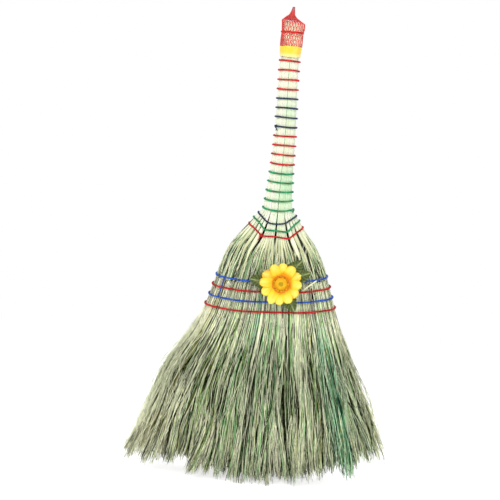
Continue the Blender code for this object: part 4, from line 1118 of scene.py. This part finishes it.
def add_petal(heap, rng, degrees, reach, half, level, tint):
    """Adds a petal. Along it u runs from 0 to 1 and across it v from -1 to 1; its half width is
    half * sqrt(1 - |2 u^1.25 - 1|^blunt), it rises with the square of the radius and arches across v."""
    u, v = np.meshgrid(np.linspace(0.0, 1.0, 22), np.linspace(-1, 1, 13), indexing="ij")
    blunt = rng.uniform(1.9, 2.5)
    wide = half * np.sqrt(np.maximum(1 - np.abs(2 * u**1.25 - 1) ** blunt, 0.0004))
    tip = rng.uniform(-0.05, 0.05)
    r = PETAL_FOOT + (reach - PETAL_FOOT) * u * (1 + tip * (1 - v**2) ** 2 * u**2)
    turn = math.radians(degrees + rng.uniform(-4, 4))
    ruffle = 0.0008 * np.sin(6 * v + 6 * rng.random()) * u + rng.uniform(-0.0006, 0.0010) * u**3
    arch = 0.0014 * v**2 * np.sin(math.pi * np.minimum(u * 1.1, 1))
    fold = 0.0007 * bell(v, 0, 1 / 4) * u
    local = polar(r, turn, level + CUP * (r / PETAL_REACH) ** 2 - arch + ruffle + fold, v * wide)
    colour = mixed(tint, LEMON, 0.9 * smooth(u, 0.35, 0.95) * (0.6 + 0.4 * np.cos(3 * v)))
    # The dye of the corona has run on to the petals at its right and top
    stain = 0.0045 * max(0, math.cos(turn - math.radians(45)))
    dyed = mixed(DEEP_YELLOW, ORANGE, 0.45)
    colour = mixed(dyed, colour, smooth(r, 0.010 + 0.8 * stain, 0.0132 + 1.3 * stain))
    # Painted shade: the petal edges darken to deep yellow where the petals overlap; the middle is deeper
    # yellow near the foot
    colour = mixed(colour, DEEP_YELLOW, 0.75 * smooth(np.abs(v), 0.82, 1) + 0.3 * bell(v, 0, 1 / 7) * (1 - u))
    add_sheet(heap, flower_points(local), CLOTH_THICKNESS, np.clip(colour, 0, 1))


def make_petals():
    """Two layers of six petals. The one at the upper left is a warmer yellow."""
    rng = np.random.default_rng(8)
    for name, first, reach, half, level in (
        ("petals_outer", 30, PETAL_REACH, 0.0075, PETAL_LEVEL),
        ("petals_inner", 0, 0.0296, 0.0073, PETAL_LEVEL + INNER_PETALS_UP),
    ):
        heap = Heap()
        for degrees in range(first, first + 360, 60):
            stretch = rng.uniform(0.93, 1.05)
            warm = 0.8 if degrees == 150 else rng.uniform(0, 0.15)
            tint = mixed(YELLOW, DEEP_YELLOW, warm)
            add_petal(heap, rng, degrees, reach * stretch, half * rng.uniform(0.96, 1.10), level, tint)
        heap.piece(f"cloth_{name}", name, "petal_yellow", CLOTH)


def make_corona():
    """Corona: a cup whose wall flares from the foot to a rim with sixteen soft ruffles."""
    turn, up = around(CORONA_TURNS), np.linspace(0, 1, 9)[:, None]
    ruffle = np.sin(16 * turn) * 0.5 + np.sin(9 * turn + 1) * 0.5
    radius = 0.0098 + 0.0024 * up**1.5 + 0.0011 * ruffle * up**2
    z = CORONA_FOOT + 0.0049 * up + 0.0006 * ruffle * up**3
    outer = polar(radius, turn, z)
    inner = polar(radius - CORONA_WALL, turn, np.maximum(z, CORONA_FOOT + CORONA_WALL))
    floor = polar(0.0012, turn, CORONA_FOOT + np.array([[CORONA_WALL], [0]]))
    # Painted light and shade: the ruffles' crests are lighter and their hollows darker
    fold = np.clip(0.86 + 0.26 * ruffle, 0.5, 1.1)[..., None]
    outside = mixed(DEEP_YELLOW, ORANGE, up) * fold
    inside = mixed(GOLD, RIM_ORANGE, smooth(up + 0.14 * ruffle, 0.5, 0.95)) * fold
    points = np.concatenate([outer, inner[::-1], floor])
    tints = np.concatenate([outside, inside[::-1], np.broadcast_to(GOLD, floor.shape)])
    heap = Heap()
    heap.add(flower_points(points), [grid_quads(*points.shape[:2], closed=True, ring=True)], tints)
    heap.piece("cloth_corona", "flower_corona", "flower_orange", CLOTH)


def dome(r):
    """Height of the flower's centre, with its dimple, at a radius."""
    round_top = 0.0036 * np.sqrt(np.maximum(1 - (r / CENTRE_RADIUS) ** 2.4, 0))
    return CENTRE_FOOT + round_top - 0.0016 * bell(r, 0, 0.0022)


def make_centre():
    """Centre: a low dome with a dimple, covered by short stubs set on a spiral of equal area."""
    r = CENTRE_RADIUS * np.linspace(1, 0.03, 12)[:, None]
    skin = polar(r, around(48), dome(r))
    heap = Heap()
    add_shell(heap, flower_points(np.concatenate([skin[:1] * [1, 1, 0] + CENTRE_FOOT * UP, skin])), GOLD)
    rng = np.random.default_rng(4)
    count = 230
    each = drawer(rng, count, 1)
    number = np.arange(count)[:, None] + 0.5
    r = 0.0084 * np.sqrt(number / count)
    steps = np.linspace(0, 1, 4)
    height = 0.0010 * each(0.6, 1.2) * (1 - 0.3 * bell(r, 0, 0.002))
    # The stubs lean outwards by a tenth of their radius
    paths = polar(r * (1 + 0.10 * steps), number * GOLDEN_ANGLE, dome(r) - 0.0003 + height * steps)
    radius = np.array([0.00040, 0.00036, 0.00042, 0.00020]) * each(0.8, 1.2)
    tint = blend(
        FLORET,
        (DEEP_YELLOW, 0.7 * each() * smooth(r, 0.001, 0.004)),
        (ORANGE, 0.7 * each() * smooth(r, 0.003, 0.0085)),
        (DIMPLE, 1 - smooth(r, 0.0022, 0.0038)),
    )
    add_tubes(heap, flower_points(paths), radius, tint, 4, UP)
    heap.piece("cloth_centre", "flower_centre", "flower_orange", CLOTH)


def make_leaves():
    """Leaves: half width stalk + blade * sin(pi b^0.8)^0.8 along the blade, with a saw-toothed edge, a raised
    middle rib and side veins that slant to the tip."""
    stalk, wide, start, reach = 0.001, 0.0105, 0.0029, 0.043
    along, across = np.meshgrid(np.linspace(0, 1, 61), np.linspace(-1, 1, 21), indexing="ij")
    blade = np.maximum(0, (along - 0.18) / 0.82)
    tooth = 1 - 0.09 * np.mod(blade * 9, 1) * smooth(np.abs(across), 0.5, 1)
    half = stalk + wide * np.maximum(np.sin(math.pi * np.minimum(blade, 0.9999) ** 0.8), 0) ** 0.8 * tooth
    half = np.where(along > 0.995, stalk / 2, half)
    side = across * half
    vein = np.abs(np.mod(blade * 8 - np.abs(across) * 1.3, 1) - 0.5) * 2
    rib = bell(side, 0, 0.0007)
    relief = 0.0006 * (np.sin(math.pi * along) - np.abs(side) / (stalk + wide))
    relief += 0.0005 * rib * (along < 0.97)
    relief += 0.0004 * smooth(vein, 0.2, 0.6) * smooth(blade, 0.03, 0.2) * (1 - along)
    # The middle rib is paler, and the pale bands across the blade are painted highlights
    pale = 0.8 * rib + 0.35 * smooth(np.sin(9 * along + 5 * across), 0.5, 1)
    tint = blend(LEAF_DARK, (LEAF, smooth(vein, 0.1, 0.7) * 0.9), (LEAF_PALE, pale))
    for label, degrees, under in LEAVES:
        curl = 0.0008 * np.sin(6 * along + degrees) * across**2 * along
        level = (0.0016 if under else 0.0030) + relief + curl
        local = polar(start + (reach - start) * along, math.radians(degrees), level, side)
        heap = Heap()
        add_sheet(heap, flower_points(local), CLOTH_THICKNESS, np.clip(tint, 0, 1))
        heap.piece(f"cloth_leaf_{label}", f"leaf_{label}", "leaf_green", LEAF_CLOTH)


def dress_nodes():
    """The stem and the calyx keep their shapes and get painted-wire and pressed-cloth finishes."""
    for name, tint, roughness in (("flower_stem", STEM_GREEN, 0.4), ("flower_calyx", CALYX_GREEN, 0.7)):
        made, tree, shader = new_material(f"{name}_finish", roughness)
        inputs = {"Colour": (*tint, 1), "Deep": (*tint * 0.5, 1), "Amount": 0.5}
        cover_by_group(tree, shader, FUZZ, 0.0001, inputs)
        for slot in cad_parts[name].material_slots:
            slot.material = made


# Floor, light and camera

WHITE = (1, 1, 1, 1)


def make_floor():
    """A pale floor that fades to white away from the broom, and takes its shadow."""
    mesh = bpy.data.meshes.new("floor")
    mesh.from_pydata([(-12, -12, 0), (12, -12, 0), (12, 12, 0), (-12, 12, 0)], [], [(0, 1, 2, 3)])
    floor = link_object("floor", mesh)
    made, tree, shader = new_material("pale_floor", 0.8, Specular_IOR_Level=0.1)
    shader.inputs["Base Color"].default_value = (0.86, 0.86, 0.86, 1)
    place = add_node(tree, "ShaderNodeTexCoord").outputs["Object"]
    far = add_node(tree, "ShaderNodeVectorMath", {0: place}, operation="LENGTH").outputs["Value"]
    seen = seen_node(tree)
    share = math_node(tree, "MULTIPLY", range_node(tree, far, 0.35, 1.1), seen)
    lift = math_node(tree, "MULTIPLY", seen, 0.70)
    lit = add_node(tree, "ShaderNodeEmission", {"Color": WHITE, "Strength": lift}).outputs[0]
    white = add_node(tree, "ShaderNodeEmission", {"Color": WHITE, "Strength": 1.0}).outputs[0]
    near = add_node(tree, "ShaderNodeAddShader", {0: shader.outputs[0], 1: lit}).outputs[0]
    mix = add_node(tree, "ShaderNodeMixShader", {0: share, 1: near, 2: white})
    tree.links.new(mix.outputs[0], tree.nodes["Material Output"].inputs["Surface"])
    mesh.materials.append(made)


def make_world():
    """A white world, brighter to the camera than to the surfaces that it lights."""
    world = bpy.data.worlds.new("white_studio")
    bpy.context.scene.world = world
    world.use_nodes = True
    tree = world.node_tree
    ground = tree.nodes["Background"]
    ground.inputs["Color"].default_value = WHITE
    tree.links.new(range_node(tree, seen_node(tree), 0.0, 1.0, 0.68, 1.0), ground.inputs["Strength"])


def add_lamp(name, place, aim, size, watts):
    """A square area lamp turned to its aim."""
    data = bpy.data.lights.new(name, "AREA")
    data.size = size
    data.energy = watts
    lamp = link_object(name, data)
    lamp.location = place
    direction = Vector(aim) - Vector(place)
    lamp.rotation_euler = direction.to_track_quat("-Z", "Y").to_euler()


def make_camera():
    """Camera in front and a little above. It is turned about its own axis, so that the broom leans."""
    distance, half_view, elevation, lean = 1.65, 0.35, math.radians(7.5), math.radians(5.28)
    right, back = np.array([1.0, 0, 0]), np.array([0, -math.cos(elevation), math.sin(elevation)])
    up = np.cross(back, right)
    place = np.array([-0.0304, 0, 0.326]) + SHIFT + distance * back
    rolled_right = right * math.cos(lean) + up * math.sin(lean)
    rolled_up = up * math.cos(lean) - right * math.sin(lean)
    data = bpy.data.cameras.new("camera")
    data.sensor_width = 36
    data.lens = data.sensor_width / 2 * distance / half_view
    camera = link_object("camera", data)
    turn = np.stack([rolled_right, rolled_up, back], axis=1)
    camera.matrix_world = Matrix([[*turn[row], place[row]] for row in range(3)] + [[0, 0, 0, 1]])
    bpy.context.scene.camera = camera


make_camera()
make_skirt()
make_bundles()
make_grip_strings()
make_tied_rows()
make_tape()
make_net()
make_petals()
make_corona()
make_centre()
make_leaves()
dress_nodes()
make_floor()
make_world()
add_lamp("key", place=(-0.9, -1.6, 1.5), aim=(0, 0, 0.3), size=1.2, watts=20)
add_lamp("fill", place=(1.3, -1.4, 0.9), aim=(0, 0, 0.3), size=1.4, watts=9)
add_lamp("back", place=(0.2, 1.6, 1.3), aim=(0, 0, 0.35), size=1.4, watts=10)
bpy.context.scene.view_settings.view_transform = "Standard"
